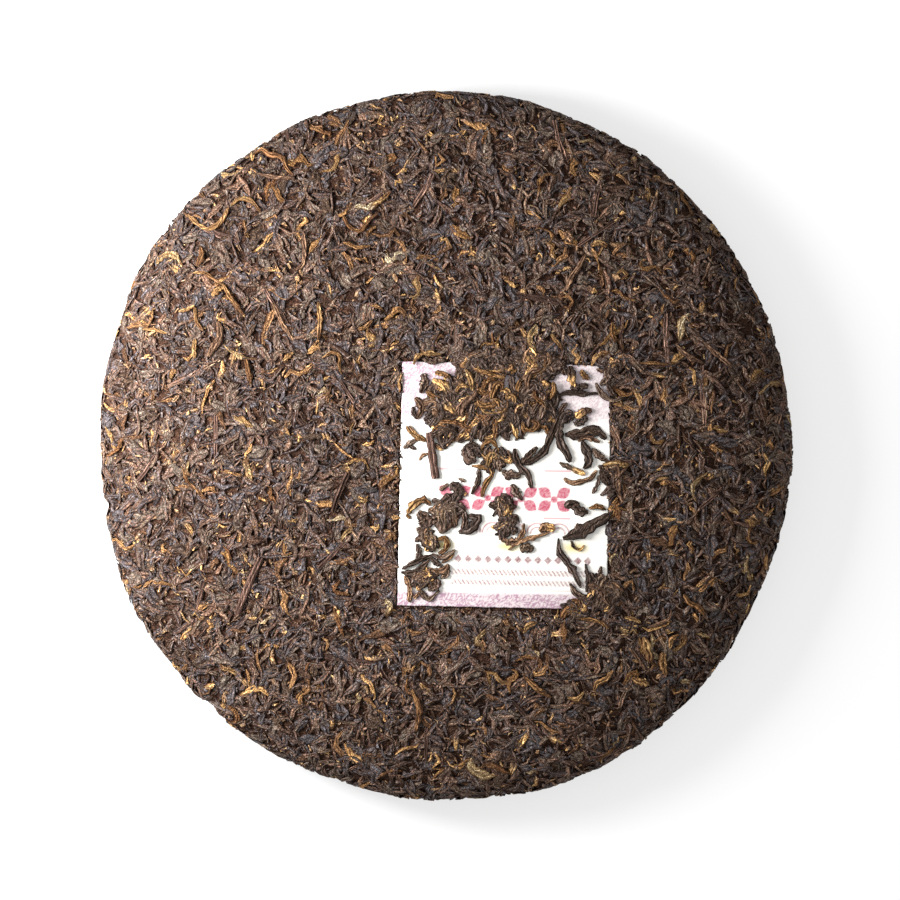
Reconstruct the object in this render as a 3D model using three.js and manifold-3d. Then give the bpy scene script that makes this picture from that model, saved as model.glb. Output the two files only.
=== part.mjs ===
// A pressed round cake of ripe pu-erh tea with a paper ticket set into its top.
// Millimetres, +Z up. The cake lies on its flat seat at z = 0, centred over the origin,
// and is seen from straight above with +X to the right and +Y away from the viewer.
import * as THREE from "three";
import { mergeVertices } from "three/addons/utils/BufferGeometryUtils.js";
import Module from "manifold-3d";

const wasm = await Module();
wasm.setup();

// Driving dimensions of the cake
const CAKE_DIAMETER = 200;
const CROWN_HEIGHT = 26;
const RIM_HEIGHT = 9.5;
const DOME_FULLNESS = 2.4;
const EDGE_ROUNDNESS = 2.4;
const UNDERSIDE_LIFT = 0.9;
const FLAT_SHARE = 0.89;
const SEAT_INNER_SHARE = 0.52;
const SEAT_OUTER_SHARE = 0.6;
const SEAT_EDGE_SHARE = 0.02;
const NEST_DIAMETER = 54;
const NEST_DEPTH = 9;
const NEST_FULLNESS = 1.2;

// The outline is a circle with a few slow waves: waves round the rim, swell in mm, turn in degrees
const OUTLINE_WAVES = [
  { waves: 2, swell: 1.25, turn: 163 },
  { waves: 4, swell: 0.31, turn: -138 },
  { waves: 5, swell: 0.4, turn: -15 },
  { waves: 7, swell: 0.15, turn: 40 },
  { waves: 12, swell: 0.2, turn: 75 },
  { waves: 19, swell: 0.2, turn: 10 },
];
const OUTLINE_NOTCHES = [
  { angle: 190, depth: 1.3, width: 2.2 },
  { angle: 228, depth: 1.1, width: 3 },
  { angle: 300, depth: 0.8, width: 2.5 },
];

// The bare core under the leaves
const LEAF_COVER = 0.7;
const RELIEF_HEIGHT = 0.35;
const RELIEF_ACROSS = { wave: 2.9, wander: 1.6, wanderWave: 6.1 };
const RELIEF_ALONG = { wave: 3.3, wander: 1.9, wanderWave: 7.3 };
const TOP_SPACING = 9;
const UNDERSIDE_SPACING = 12;
const TOP_RINGS = 12;
const RING_CROWDING = 1.4;
const ROUNDING_RINGS = 4;
const UNDERSIDE_RINGS = 3;
const NEST_RINGS = 4;
const FEWEST_SIDES = 6;

// Leaf strands fused on the core, largest first
const STRAND_SEED = 357;
const TOP_STRANDS = 205;
const RIM_STRANDS = 66;
const UNDERSIDE_STRANDS = 52;
const UNDERSIDE_STRAND_HEIGHT = 0.7;
const SEAT_CLEARANCE = 1.5;
const LONGEST_STRAND = 17;
const SHORTEST_STRAND = 8;
const WIDEST_STRAND = 3;
const SLIMMEST_STRAND = 1.8;
const STRAND_HEIGHT = 1.15;
const STRAND_SINK = 0.6;
const STRAND_STATIONS = 3;
const STRAND_BEND = 2;
const STRAND_ROUNDNESS = 0.5;
const STRAND_END_HEIGHT = 0.75;
const RIDGE_LEAN = 0.5;
const SIZE_FALL = 0.7;
const WIDTH_SPREAD = 0.15;
const HEIGHT_SPREAD = 0.25;
const TOP_REACH_SHARE = 0.9;
const RIM_ROWS = [-6, 0.5, 8];
const RIM_ROW_JITTER = 1;
const RIM_TILT = 0.65;
const RIM_MM_PER_RADIAN_UP = 24;
const RIM_MM_PER_RADIAN_DOWN = 9.3;

// Steps that slopes are measured over, and places on a path where it is tested
const RIM_STEP = 0.05;
const PATH_STEP = 0.01;
const PATH_TESTS = [0, 0.25, 0.5, 0.75, 1];
const SHORT_PATH_TESTS = [0, 0.5, 1];
const MERGE_DISTANCE = 1e-4;

// The paper ticket, placed by its centre
const TICKET_WIDTH = 59;
const TICKET_HEIGHT = 69;
const TICKET_X = 16.9;
const TICKET_Y = -11.1;
const TICKET_TURN = -1.2;
const TICKET_THICKNESS = 0.5;
const TICKET_RISE = 0.2;
const TICKET_WAVE = 0.25;
const WAVE_ACROSS = { wave: 8.5, start: 0.6 };
const WAVE_UP = { wave: 10.5, start: -0.4 };
const TICKET_COLUMNS = 7;
const TICKET_ROWS = 8;
const GAP = 0.3;
const POCKET_HEADROOM = 4;

// Heaps of leaf on the ticket, from its centre: middle, half sizes and height
const HEAPS = [
  { x: -5, y: 23, long: 16.5, wide: 8.6, tall: 2.1 },
  { x: -5.5, y: 7.9, long: 5.8, wide: 3, tall: 1.5 },
  { x: -17.1, y: -7.7, long: 6, wide: 6.4, tall: 1.9 },
  { x: -21.1, y: -26.2, long: 5.6, wide: 4.4, tall: 1.7 },
  { x: 0.1, y: -8.8, long: 4, wide: 5.6, tall: 1.6 },
  { x: 25.3, y: -28.2, long: 2.4, wide: 4.6, tall: 1.6 },
];

// Single leaves on the ticket, from its centre: start, bend, end and width
const TICKET_LEAVES = [
  { from: [-21.5, 17.1], bend: [-20.5, 9.3], to: [-19.5, 1.4], width: 2.2 },
  { from: [-9.2, 5.4], bend: [-2.9, 3.4], to: [-6.9, -3.2], width: 1.5 },
  { from: [-7.2, 4], bend: [-7.7, 0.2], to: [-9.2, -2.8], width: 1.6 },
  { from: [13.5, 19.2], bend: [12.3, 12.8], to: [3.9, 5.2], width: 2 },
  { from: [2.7, 7.1], bend: [6.1, 3.8], to: [7.2, -0.6], width: 2 },
  { from: [14.5, 16.2], bend: [17.9, 10.2], to: [18.5, 6.6], width: 2.3 },
  { from: [15.5, 6.7], bend: [19.1, 4.4], to: [22.4, 3.5], width: 1.6 },
  { from: [16.5, 15.2], bend: [23.5, 16.8], to: [27.9, 13.7], width: 2.6 },
  { from: [21.2, 12.4], bend: [23.5, 7.4], to: [21.7, 3.8], width: 2.4 },
  { from: [13.7, 24.8], bend: [18.5, 26.6], to: [26.4, 26.6], width: 1.7 },
  { from: [16.9, 31.2], bend: [18.7, 29.2], to: [19.4, 26.6], width: 2.3 },
  { from: [27.3, 31.4], bend: [25.5, 28.2], to: [28.1, 24.6], width: 1.8 },
  { from: [23.9, 22], bend: [19.9, 21.2], to: [15.9, 17.2], width: 2.2 },
  { from: [-23.1, 30.8], bend: [-22.7, 27.8], to: [-23.9, 25.2], width: 2.3 },
  { from: [-25.5, 24.2], bend: [-23.3, 21.4], to: [-25.1, 18.4], width: 2.4 },
  { from: [-27.5, 15.6], bend: [-24.9, 13.4], to: [-22.1, 12], width: 1.7 },
  { from: [-15.9, 1], bend: [-11.9, -1.8], to: [-10.5, -5.2], width: 2.2 },
  { from: [-27.3, -9.6], bend: [-25.5, -5.2], to: [-20.5, -4.8], width: 2 },
  { from: [-10.1, -8.8], bend: [-6.5, -9.8], to: [-11.7, -13.6], width: 2.5 },
  { from: [-24.1, -13.8], bend: [-24.1, -18.2], to: [-24.9, -21.4], width: 1.7 },
  { from: [-27.9, -24], bend: [-23.5, -21.2], to: [-18.1, -17.8], width: 1.7 },
  { from: [-21.9, -31.6], bend: [-19.5, -31.2], to: [-17.5, -29.4], width: 1.9 },
  { from: [1.7, -17.6], bend: [8.5, -14.2], to: [14.1, -11.8], width: 1.8 },
  { from: [16.5, -5], bend: [20.5, -4], to: [23.3, -7], width: 3.2 },
  { from: [16.5, -14], bend: [23.9, -11.2], to: [28.5, -7.8], width: 2.9 },
  { from: [15.3, -14.6], bend: [16.9, -20.8], to: [22.1, -28.2], width: 1.8 },
  { from: [16.7, 2.6], bend: [20.5, 0.8], to: [26.1, 4.8], width: 1.8 },
];
const BEAD = { x: 6.5, y: -17.4, long: 2.1, wide: 1.4, tall: 1 };

// Each mound narrows upwards: share of its width and share of its height
const HEAP_SIDES = 8;
const HEAP_LEVELS = [
  { share: 0.97, height: 0.3 },
  { share: 0.72, height: 0.78 },
];
const HEAP_RAGGEDNESS = 0.1;
const HEAP_RAGGED_TURN = 2.4;
const HEAP_SINK = 0.2;
const HEAP_BEDDING = 0.9;
const HEAP_STRANDS = 10;
const HEAP_STRAND_REACH = 0.8;
const HEAP_LEAF_LENGTH = 7.5;
const HEAP_LEAF_WIDTH = 2;
const TICKET_STRAND_SINK = 0.2;
const TICKET_STRAND_HEIGHT = 0.9;

const degrees = THREE.MathUtils.degToRad;
const NEST_SHARE = NEST_DIAMETER / CAKE_DIAMETER;
const CORE_RADIUS = CAKE_DIAMETER / 2 - LEAF_COVER;
const GOLDEN_TURN = Math.PI * (3 - Math.sqrt(5));

// Numbers from 0 to 1, the same on each run
function seededRandom(seed) {
  let state = seed;
  return () => {
    state = (state + 0x6d2b79f5) | 0;
    let mixed = Math.imul(state ^ (state >>> 15), 1 | state);
    mixed = (mixed + Math.imul(mixed ^ (mixed >>> 7), 61 | mixed)) ^ mixed;
    return ((mixed ^ (mixed >>> 14)) >>> 0) / 4294967296;
  };
}

// Distance from the centre to the core's edge in one direction
function outlineRadius(angle) {
  let radius = CORE_RADIUS;
  for (const { waves, swell, turn } of OUTLINE_WAVES) {
    radius += swell * Math.cos(waves * angle + degrees(turn));
  }
  for (const notch of OUTLINE_NOTCHES) {
    const turned = angle - degrees(notch.angle);
    const along = Math.atan2(Math.sin(turned), Math.cos(turned)) * CORE_RADIUS;
    radius -= notch.depth * Math.exp(-((along / notch.width) ** 2));
  }
  return radius;
}

// Heights by the share of the way from the centre to the edge
function domeHeight(share) {
  const fall = Math.max(0, 1 - share ** DOME_FULLNESS);
  return RIM_HEIGHT + (CROWN_HEIGHT - LEAF_COVER - RIM_HEIGHT) * fall ** (1 / EDGE_ROUNDNESS);
}

function undersideHeight(share) {
  if (share > FLAT_SHARE) {
    const out = Math.min(1, (share - FLAT_SHARE) / (1 - FLAT_SHARE));
    return RIM_HEIGHT - (RIM_HEIGHT - UNDERSIDE_LIFT) * Math.sqrt(1 - out * out);
  }
  const fromSeat = Math.max(SEAT_INNER_SHARE - share, share - SEAT_OUTER_SHARE, 0);
  const lift = UNDERSIDE_LIFT * Math.min(1, fromSeat / SEAT_EDGE_SHARE);
  const intoNest = Math.max(0, 1 - (share / NEST_SHARE) ** 2);
  return lift + NEST_DEPTH * intoNest ** NEST_FULLNESS;
}

// Low bumps as wide as the pressed leaves
function relief(x, y) {
  const acrossWander = RELIEF_ACROSS.wander * Math.sin(y / RELIEF_ACROSS.wanderWave);
  const alongWander = RELIEF_ALONG.wander * Math.sin(x / RELIEF_ALONG.wanderWave);
  const across = Math.sin(x / RELIEF_ACROSS.wave + acrossWander);
  const along = Math.cos(y / RELIEF_ALONG.wave + alongWander);
  return RELIEF_HEIGHT * across * along;
}

function shareAt(x, y) {
  return Math.hypot(x, y) / outlineRadius(Math.atan2(y, x));
}

// Triangles between two rings of points that turn the same way; a ring of one point is a pole
function stitchRings(faces, inner, outer) {
  let innerStep = 0;
  let outerStep = 0;
  const innerSteps = inner.count > 1 ? inner.count : 0;
  const outerSteps = outer.count > 1 ? outer.count : 0;
  while (innerStep < innerSteps || outerStep < outerSteps) {
    const innerHere = inner.start + (innerStep % inner.count);
    const outerHere = outer.start + (outerStep % outer.count);
    const innerTurned = (innerStep + 1) / innerSteps;
    const outerTurned = (outerStep + 1) / outerSteps;
    const innerIsBehind = innerStep < innerSteps && innerTurned < outerTurned;
    if (innerIsBehind || outerStep === outerSteps) {
      innerStep += 1;
      faces.push(innerHere, outerHere, inner.start + (innerStep % inner.count));
    } else {
      outerStep += 1;
      faces.push(innerHere, outerHere, outer.start + (outerStep % outer.count));
    }
  }
}

// A closed shell through rings of points from one pole to the other
function shellOf(rings) {
  const points = rings.flat();
  const faces = [];
  let start = 0;
  for (let k = 0; k + 1 < rings.length; k += 1) {
    const inner = { start, count: rings[k].length };
    start += rings[k].length;
    stitchRings(faces, inner, { start, count: rings[k + 1].length });
  }
  return facingOut(points, faces);
}

// Faces are turned round where the volume that they enclose comes out negative
function facingOut(points, faces) {
  const normal = new THREE.Vector3();
  let volume = 0;
  for (let k = 0; k < faces.length; k += 3) {
    normal.crossVectors(points[faces[k + 1]], points[faces[k + 2]]);
    volume += points[faces[k]].dot(normal);
  }
  const geometry = new THREE.BufferGeometry().setFromPoints(points);
  geometry.setIndex(volume < 0 ? faces.reverse() : faces);
  return geometry;
}

function solidOf(geometry) {
  geometry.deleteAttribute("normal");
  geometry.deleteAttribute("uv");
  const merged = mergeVertices(geometry, MERGE_DISTANCE);
  const vertProperties = new Float32Array(merged.attributes.position.array);
  const triVerts = new Uint32Array(merged.index.array);
  return new wasm.Manifold(new wasm.Mesh({ numProp: 3, vertProperties, triVerts }));
}

function geometryOf(solid) {
  const mesh = solid.getMesh();
  const geometry = new THREE.BufferGeometry();
  geometry.setAttribute("position", new THREE.BufferAttribute(new Float32Array(mesh.vertProperties), 3));
  geometry.setIndex(new THREE.BufferAttribute(new Uint32Array(mesh.triVerts), 1));
  geometry.computeVertexNormals();
  return geometry;
}

// One ring of the core; height and bumps are given by the share of the way out
function coreRing(share, spacing, heightOf, bumpSide) {
  if (share === 0) {
    return [new THREE.Vector3(0, 0, heightOf(0))];
  }
  const count = Math.max(FEWEST_SIDES, Math.round((2 * Math.PI * CORE_RADIUS * share) / spacing));
  const ring = [];
  for (let k = 0; k < count; k += 1) {
    const angle = (2 * Math.PI * k) / count;
    const radius = share * outlineRadius(angle);
    const x = radius * Math.cos(angle);
    const y = radius * Math.sin(angle);
    ring.push(new THREE.Vector3(x, y, heightOf(share) + bumpSide * relief(x, y)));
  }
  return ring;
}

function sharesBetween(from, to, steps) {
  return Array.from({ length: steps }, (_, k) => from + ((to - from) * k) / steps);
}

function coreGeometry() {
  const rings = [];
  for (let k = 0; k <= TOP_RINGS; k += 1) {
    const share = 1 - (1 - k / TOP_RINGS) ** RING_CROWDING;
    const bump = share > 0 && share < 1 ? 1 : 0;
    rings.push(coreRing(share, TOP_SPACING, domeHeight, bump));
  }
  const roundingShares = [];
  for (let k = 1; k < ROUNDING_RINGS; k += 1) {
    roundingShares.push(undersideShareAtLean((Math.PI / 2) * (k / ROUNDING_RINGS)));
  }
  const seatOutside = SEAT_OUTER_SHARE + SEAT_EDGE_SHARE;
  const seatInside = SEAT_INNER_SHARE - SEAT_EDGE_SHARE;
  const underShares = [
    ...roundingShares,
    ...sharesBetween(FLAT_SHARE, seatOutside, UNDERSIDE_RINGS),
    seatOutside,
    SEAT_OUTER_SHARE,
    SEAT_INNER_SHARE,
    ...sharesBetween(seatInside, NEST_SHARE, UNDERSIDE_RINGS),
    ...sharesBetween(NEST_SHARE, 0, NEST_RINGS),
    0,
  ];
  for (const share of underShares) {
    rings.push(coreRing(share, UNDERSIDE_SPACING, undersideHeight, 0));
  }
  return shellOf(rings);
}

// Surfaces that strands lie on: each turns a place and a lift off the surface into a point
function onTop(x, y, lift) {
  return new THREE.Vector3(x, y, domeHeight(shareAt(x, y)) + lift);
}

function onUnderside(x, y, lift) {
  return new THREE.Vector3(x, y, undersideHeight(shareAt(x, y)) - lift);
}

// The rim's rounded band by the lean of its curve, from level at the widest line to upright
function topShareAtLean(lean) {
  return Math.cos(lean) ** (2 / DOME_FULLNESS);
}

function undersideShareAtLean(lean) {
  return FLAT_SHARE + (1 - FLAT_SHARE) * Math.cos(lean);
}

function rimProfile(up) {
  const lean = up > 0 ? up / RIM_MM_PER_RADIAN_UP : -up / RIM_MM_PER_RADIAN_DOWN;
  const share = up > 0 ? topShareAtLean(lean) : undersideShareAtLean(lean);
  return { share, height: up > 0 ? domeHeight(share) : undersideHeight(share) };
}

// On the rim, along runs round it and up runs over it from its widest line
function onRim(along, up, lift) {
  const angle = along / CORE_RADIUS;
  const here = rimProfile(up);
  const ahead = rimProfile(up + RIM_STEP);
  const slope = new THREE.Vector2((ahead.share - here.share) * CORE_RADIUS, ahead.height - here.height);
  slope.normalize();
  const radius = here.share * outlineRadius(angle) + lift * slope.y;
  return new THREE.Vector3(radius * Math.cos(angle), radius * Math.sin(angle), here.height - lift * slope.x);
}

// A bent, tapered, three-sided strand: two edges sunk in the surface and a ridge that leans on top
function strandGeometry(place, path, width, height, sink) {
  const rings = [[place(...path(0), 0)]];
  for (let k = 1; k < STRAND_STATIONS; k += 1) {
    const t = k / STRAND_STATIONS;
    const here = path(t);
    const ahead = path(t + PATH_STEP);
    const length = Math.hypot(ahead[0] - here[0], ahead[1] - here[1]);
    const side = [-(ahead[1] - here[1]) / length, (ahead[0] - here[0]) / length];
    const swell = Math.sin(Math.PI * t);
    const half = (width / 2) * swell ** STRAND_ROUNDNESS;
    const lean = half * RIDGE_LEAN * Math.cos(Math.PI * t);
    const ridge = height * (STRAND_END_HEIGHT + (1 - STRAND_END_HEIGHT) * swell);
    rings.push([
      place(here[0] + side[0] * half, here[1] + side[1] * half, -sink),
      place(here[0] + side[0] * lean, here[1] + side[1] * lean, ridge),
      place(here[0] - side[0] * half, here[1] - side[1] * half, -sink),
    ]);
  }
  rings.push([place(...path(1), 0)]);
  return shellOf(rings);
}

// A gently bent path about a centre, as a function of the way along it
function bentPath(x, y, heading, length, bend) {
  return (t) => {
    const along = (t - 0.5) * length;
    const across = bend * (1 - 4 * (t - 0.5) ** 2);
    return [
      x + along * Math.cos(heading) - across * Math.sin(heading),
      y + along * Math.sin(heading) + across * Math.cos(heading),
    ];
  };
}

// Leaf sizes run from the largest to the smallest as a batch of strands is laid
function strandSize(order, random) {
  const shrink = order ** SIZE_FALL;
  const fullWidth = THREE.MathUtils.lerp(WIDEST_STRAND, SLIMMEST_STRAND, shrink);
  return {
    length: LONGEST_STRAND + (SHORTEST_STRAND - LONGEST_STRAND) * shrink,
    width: fullWidth * (1 - WIDTH_SPREAD + 2 * WIDTH_SPREAD * random()),
    height: STRAND_HEIGHT * (1 - HEIGHT_SPREAD + 2 * HEIGHT_SPREAD * random()),
    bend: (2 * random() - 1) * STRAND_BEND,
    heading: random() * 2 * Math.PI,
  };
}

function shuffled(count, random) {
  const order = Array.from({ length: count }, (_, k) => k);
  for (let k = count - 1; k > 0; k -= 1) {
    const other = Math.floor(random() * (k + 1));
    [order[k], order[other]] = [order[other], order[k]];
  }
  return order;
}

// Evenly spread places on a disc between two radii, by the sunflower rule
function sunflower(count, innerRadius, outerRadius) {
  return Array.from({ length: count }, (_, k) => {
    const area = (k + 0.5) / count;
    const radius = Math.sqrt(innerRadius ** 2 + (outerRadius ** 2 - innerRadius ** 2) * area);
    return [radius * Math.cos(k * GOLDEN_TURN), radius * Math.sin(k * GOLDEN_TURN)];
  });
}

const ticketCos = Math.cos(degrees(TICKET_TURN));
const ticketSin = Math.sin(degrees(TICKET_TURN));

function nearTicket(x, y, clearance) {
  const dx = x - TICKET_X;
  const dy = y - TICKET_Y;
  const across = Math.abs(dx * ticketCos + dy * ticketSin);
  const up = Math.abs(-dx * ticketSin + dy * ticketCos);
  return across < TICKET_WIDTH / 2 + clearance && up < TICKET_HEIGHT / 2 + clearance;
}

function insideTicket(path, margin) {
  return SHORT_PATH_TESTS.every((t) => {
    const [x, y] = path(t);
    return nearTicket(TICKET_X + x, TICKET_Y + y, -margin);
  });
}

function pathCrossesTicket(path, clearance) {
  return PATH_TESTS.some((t) => nearTicket(...path(t), clearance));
}

function topStrands(random) {
  const places = sunflower(TOP_STRANDS, 0, CORE_RADIUS * TOP_REACH_SHARE);
  const order = shuffled(TOP_STRANDS, random);
  const strands = [];
  order.forEach((k, rank) => {
    const size = strandSize(rank / TOP_STRANDS, random);
    const path = bentPath(...places[k], size.heading, size.length, size.bend);
    if (!pathCrossesTicket(path, size.width / 2 + 2 * GAP)) {
      strands.push(strandGeometry(onTop, path, size.width, size.height, STRAND_SINK));
    }
  });
  return strands;
}

function rimStrands(random) {
  const strands = [];
  for (let k = 0; k < RIM_STRANDS; k += 1) {
    const size = strandSize(random(), random);
    const along = (2 * Math.PI * CORE_RADIUS * (k + 0.5 * random())) / RIM_STRANDS;
    const up = RIM_ROWS[k % RIM_ROWS.length] + (2 * random() - 1) * RIM_ROW_JITTER;
    const heading = (2 * random() - 1) * RIM_TILT;
    const path = bentPath(along, up, heading, size.length, size.bend);
    const height = Math.min(size.height, 2 * LEAF_COVER);
    strands.push(strandGeometry(onRim, path, size.width, height, STRAND_SINK));
  }
  return strands;
}

function undersideStrands(random) {
  const inner = SEAT_INNER_SHARE * CORE_RADIUS - SEAT_CLEARANCE;
  const outer = SEAT_OUTER_SHARE * CORE_RADIUS + SEAT_CLEARANCE;
  const strands = [];
  for (const place of sunflower(UNDERSIDE_STRANDS, 0, FLAT_SHARE * CORE_RADIUS)) {
    const size = strandSize(random(), random);
    const path = bentPath(...place, size.heading, size.length, size.bend);
    const radii = PATH_TESTS.map((t) => Math.hypot(...path(t)));
    const onSeat = radii.some((radius) => radius > inner - size.width && radius < outer + size.width);
    if (!onSeat) {
      strands.push(strandGeometry(onUnderside, path, size.width, UNDERSIDE_STRAND_HEIGHT, STRAND_SINK));
    }
  }
  return strands;
}

// The ticket follows the dome just above the bare core, level with the leaves, with waves of its own
function paperHeight(x, y) {
  const across = Math.sin(x / WAVE_ACROSS.wave + WAVE_ACROSS.start);
  const up = Math.cos(y / WAVE_UP.wave + WAVE_UP.start);
  return domeHeight(shareAt(x, y)) + TICKET_RISE + TICKET_WAVE * (across * up);
}

// The points round the edge of one layer of the sheet, in order, where a row holds so many points
function sheetEdge(row) {
  const near = Array.from({ length: TICKET_COLUMNS }, (_, k) => k);
  const right = Array.from({ length: TICKET_ROWS }, (_, k) => k * row + TICKET_COLUMNS);
  const far = Array.from({ length: TICKET_COLUMNS }, (_, k) => (TICKET_ROWS + 1) * row - 1 - k);
  const left = Array.from({ length: TICKET_ROWS }, (_, k) => (TICKET_ROWS - k) * row);
  return [...near, ...right, ...far, ...left];
}

// A sheet over the ticket's place, wider by a margin, between two heights above the paper
function sheetGeometry(margin, below, above) {
  const points = [];
  const row = TICKET_COLUMNS + 1;
  const layer = row * (TICKET_ROWS + 1);
  for (const lift of [above, below]) {
    for (let r = 0; r <= TICKET_ROWS; r += 1) {
      for (let c = 0; c <= TICKET_COLUMNS; c += 1) {
        const across = (c / TICKET_COLUMNS - 0.5) * (TICKET_WIDTH + 2 * margin);
        const up = (r / TICKET_ROWS - 0.5) * (TICKET_HEIGHT + 2 * margin);
        const x = TICKET_X + across * ticketCos - up * ticketSin;
        const y = TICKET_Y + across * ticketSin + up * ticketCos;
        points.push(new THREE.Vector3(x, y, paperHeight(x, y) + lift));
      }
    }
  }
  const faces = [];
  for (let r = 0; r < TICKET_ROWS; r += 1) {
    for (let c = 0; c < TICKET_COLUMNS; c += 1) {
      const a = r * row + c;
      faces.push(a, a + 1, a + row + 1, a, a + row + 1, a + row);
      const b = a + layer;
      faces.push(b, b + row + 1, b + 1, b, b + row, b + row + 1);
    }
  }
  const edge = sheetEdge(row);
  edge.forEach((here, k) => {
    const next = edge[(k + 1) % edge.length];
    faces.push(here, here + layer, next + layer, here, next + layer, next);
  });
  return facingOut(points, faces);
}

// How far the highest heap over a place stands off the paper
function heapLift(x, y) {
  let lift = 0;
  for (const heap of HEAPS) {
    const out = Math.hypot((x - heap.x) / heap.long, (y - heap.y) / heap.wide);
    lift = Math.max(lift, out < 1 ? heap.tall * Math.sqrt(1 - out * out) : 0);
  }
  return lift;
}

// On the paper, x and y run from the ticket's centre
function onPaper(x, y, lift) {
  const cakeX = TICKET_X + x;
  const cakeY = TICKET_Y + y;
  return new THREE.Vector3(cakeX, cakeY, paperHeight(cakeX, cakeY) + lift);
}

function onHeaps(x, y, lift) {
  return onPaper(x, y, heapLift(x, y) * HEAP_BEDDING + lift);
}

// A low mound that follows the paper, with its underside sunk into the sheet
function moundGeometry({ x, y, long, wide, tall }, random) {
  const levels = [[1, -HEAP_SINK], ...HEAP_LEVELS.map(({ share, height }) => [share, tall * height])];
  const spin = random() * Math.PI;
  const rings = [[onPaper(x, y, -HEAP_SINK)]];
  for (const [share, lift] of levels) {
    const ring = [];
    for (let k = 0; k < HEAP_SIDES; k += 1) {
      const angle = spin + (2 * Math.PI * k) / HEAP_SIDES;
      const dip = HEAP_RAGGEDNESS * Math.sin(k * HEAP_RAGGED_TURN + spin);
      const ragged = share * (1 - HEAP_RAGGEDNESS + dip);
      ring.push(onPaper(x + long * ragged * Math.cos(angle), y + wide * ragged * Math.sin(angle), lift));
    }
    rings.push(ring);
  }
  rings.push([onPaper(x, y, tall)]);
  return shellOf(rings);
}

// A curve from end to end that passes through its bend half way
function curveThrough({ from, bend, to }) {
  const curve = new THREE.QuadraticBezierCurve(
    new THREE.Vector2(...from),
    new THREE.Vector2(2 * bend[0] - (from[0] + to[0]) / 2, 2 * bend[1] - (from[1] + to[1]) / 2),
    new THREE.Vector2(...to),
  );
  return (t) => curve.getPoint(Math.min(t, 1)).toArray();
}

function heapStrands(random) {
  const strands = [];
  const main = HEAPS[0];
  for (const [u, v] of sunflower(HEAP_STRANDS, 0, HEAP_STRAND_REACH)) {
    const middle = [main.x + u * main.long, main.y + v * main.wide];
    const heading = random() * 2 * Math.PI;
    const path = bentPath(...middle, heading, HEAP_LEAF_LENGTH, random());
    if (insideTicket(path, HEAP_LEAF_WIDTH)) {
      strands.push(strandGeometry(onHeaps, path, HEAP_LEAF_WIDTH, TICKET_STRAND_HEIGHT, TICKET_STRAND_SINK));
    }
  }
  return strands;
}

function cakeSolid() {
  const random = seededRandom(STRAND_SEED);
  const pocket = solidOf(sheetGeometry(GAP, -TICKET_THICKNESS - GAP, POCKET_HEADROOM));
  let cake = solidOf(coreGeometry()).subtract(pocket);
  for (const strand of [...topStrands(random), ...rimStrands(random), ...undersideStrands(random)]) {
    cake = cake.add(solidOf(strand));
  }
  return cake;
}

function ticketSolid() {
  const random = seededRandom(STRAND_SEED + 1);
  let ticket = solidOf(sheetGeometry(0, -TICKET_THICKNESS, 0));
  for (const heap of [...HEAPS, BEAD]) {
    ticket = ticket.add(solidOf(moundGeometry(heap, random)));
  }
  for (const leaf of TICKET_LEAVES) {
    const path = curveThrough(leaf);
    const strand = strandGeometry(onHeaps, path, leaf.width, TICKET_STRAND_HEIGHT, TICKET_STRAND_SINK);
    ticket = ticket.add(solidOf(strand));
  }
  for (const strand of heapStrands(random)) {
    ticket = ticket.add(solidOf(strand));
  }
  return ticket;
}

const pressedTea = new THREE.MeshStandardMaterial({ color: 0x57453a, roughness: 0.75, metalness: 0 });
const ticketPaper = new THREE.MeshStandardMaterial({ color: 0xf4f1ee, roughness: 0.85, metalness: 0 });

function namedMesh(name, solid, material) {
  const mesh = new THREE.Mesh(geometryOf(solid), material);
  mesh.name = name;
  return mesh;
}

const group = new THREE.Group();
group.add(namedMesh("tea_cake", cakeSolid(), pressedTea));
group.add(namedMesh("paper_ticket", ticketSolid(), ticketPaper));

// The whole is centred over the origin
const box = new THREE.Box3().setFromObject(group);
group.position.set(-(box.min.x + box.max.x) / 2, -(box.min.y + box.max.y) / 2, 0);
group.updateMatrixWorld(true);

export default group;
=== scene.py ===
"""A pressed cake of ripe pu-erh tea with a paper ticket set in its top, dressed for looks.

The cake lies on its flat seat on the floor and is seen from straight above. Its core is one
pressed mass. A mat of real leaves lies over it on every side, piece by piece and at true size,
and more leaves lie loose and in heaps on the ticket. Lengths are in millimetres until a mesh
is made. Places on the cake are counted from its own middle, +X to the right and +Y away.
"""

from __future__ import annotations

import logging
import math
from dataclasses import dataclass, field
from enum import Enum

import bmesh
import bpy
import numpy as np
from mathutils import Matrix, Vector, noise

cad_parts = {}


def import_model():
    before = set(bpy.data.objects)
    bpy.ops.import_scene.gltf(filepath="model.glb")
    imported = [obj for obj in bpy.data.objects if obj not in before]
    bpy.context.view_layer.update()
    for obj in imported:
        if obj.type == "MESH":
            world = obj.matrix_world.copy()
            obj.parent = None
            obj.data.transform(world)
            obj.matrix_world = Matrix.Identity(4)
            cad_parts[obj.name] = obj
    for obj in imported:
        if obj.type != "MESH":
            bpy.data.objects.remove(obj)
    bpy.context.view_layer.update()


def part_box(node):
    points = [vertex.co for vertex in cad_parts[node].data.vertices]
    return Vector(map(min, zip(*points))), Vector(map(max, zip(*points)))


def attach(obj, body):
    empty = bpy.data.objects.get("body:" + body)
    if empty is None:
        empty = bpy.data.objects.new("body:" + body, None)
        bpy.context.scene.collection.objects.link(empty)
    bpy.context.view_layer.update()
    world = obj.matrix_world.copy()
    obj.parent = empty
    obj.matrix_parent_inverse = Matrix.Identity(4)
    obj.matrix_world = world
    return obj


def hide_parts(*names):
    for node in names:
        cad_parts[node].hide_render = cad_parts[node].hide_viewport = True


LOG = logging.getLogger("tea_cake")
METRES = 0.001
GOLDEN_ANGLE = math.pi * (3.0 - math.sqrt(5.0))
ATLAS = "OFBake"
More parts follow.
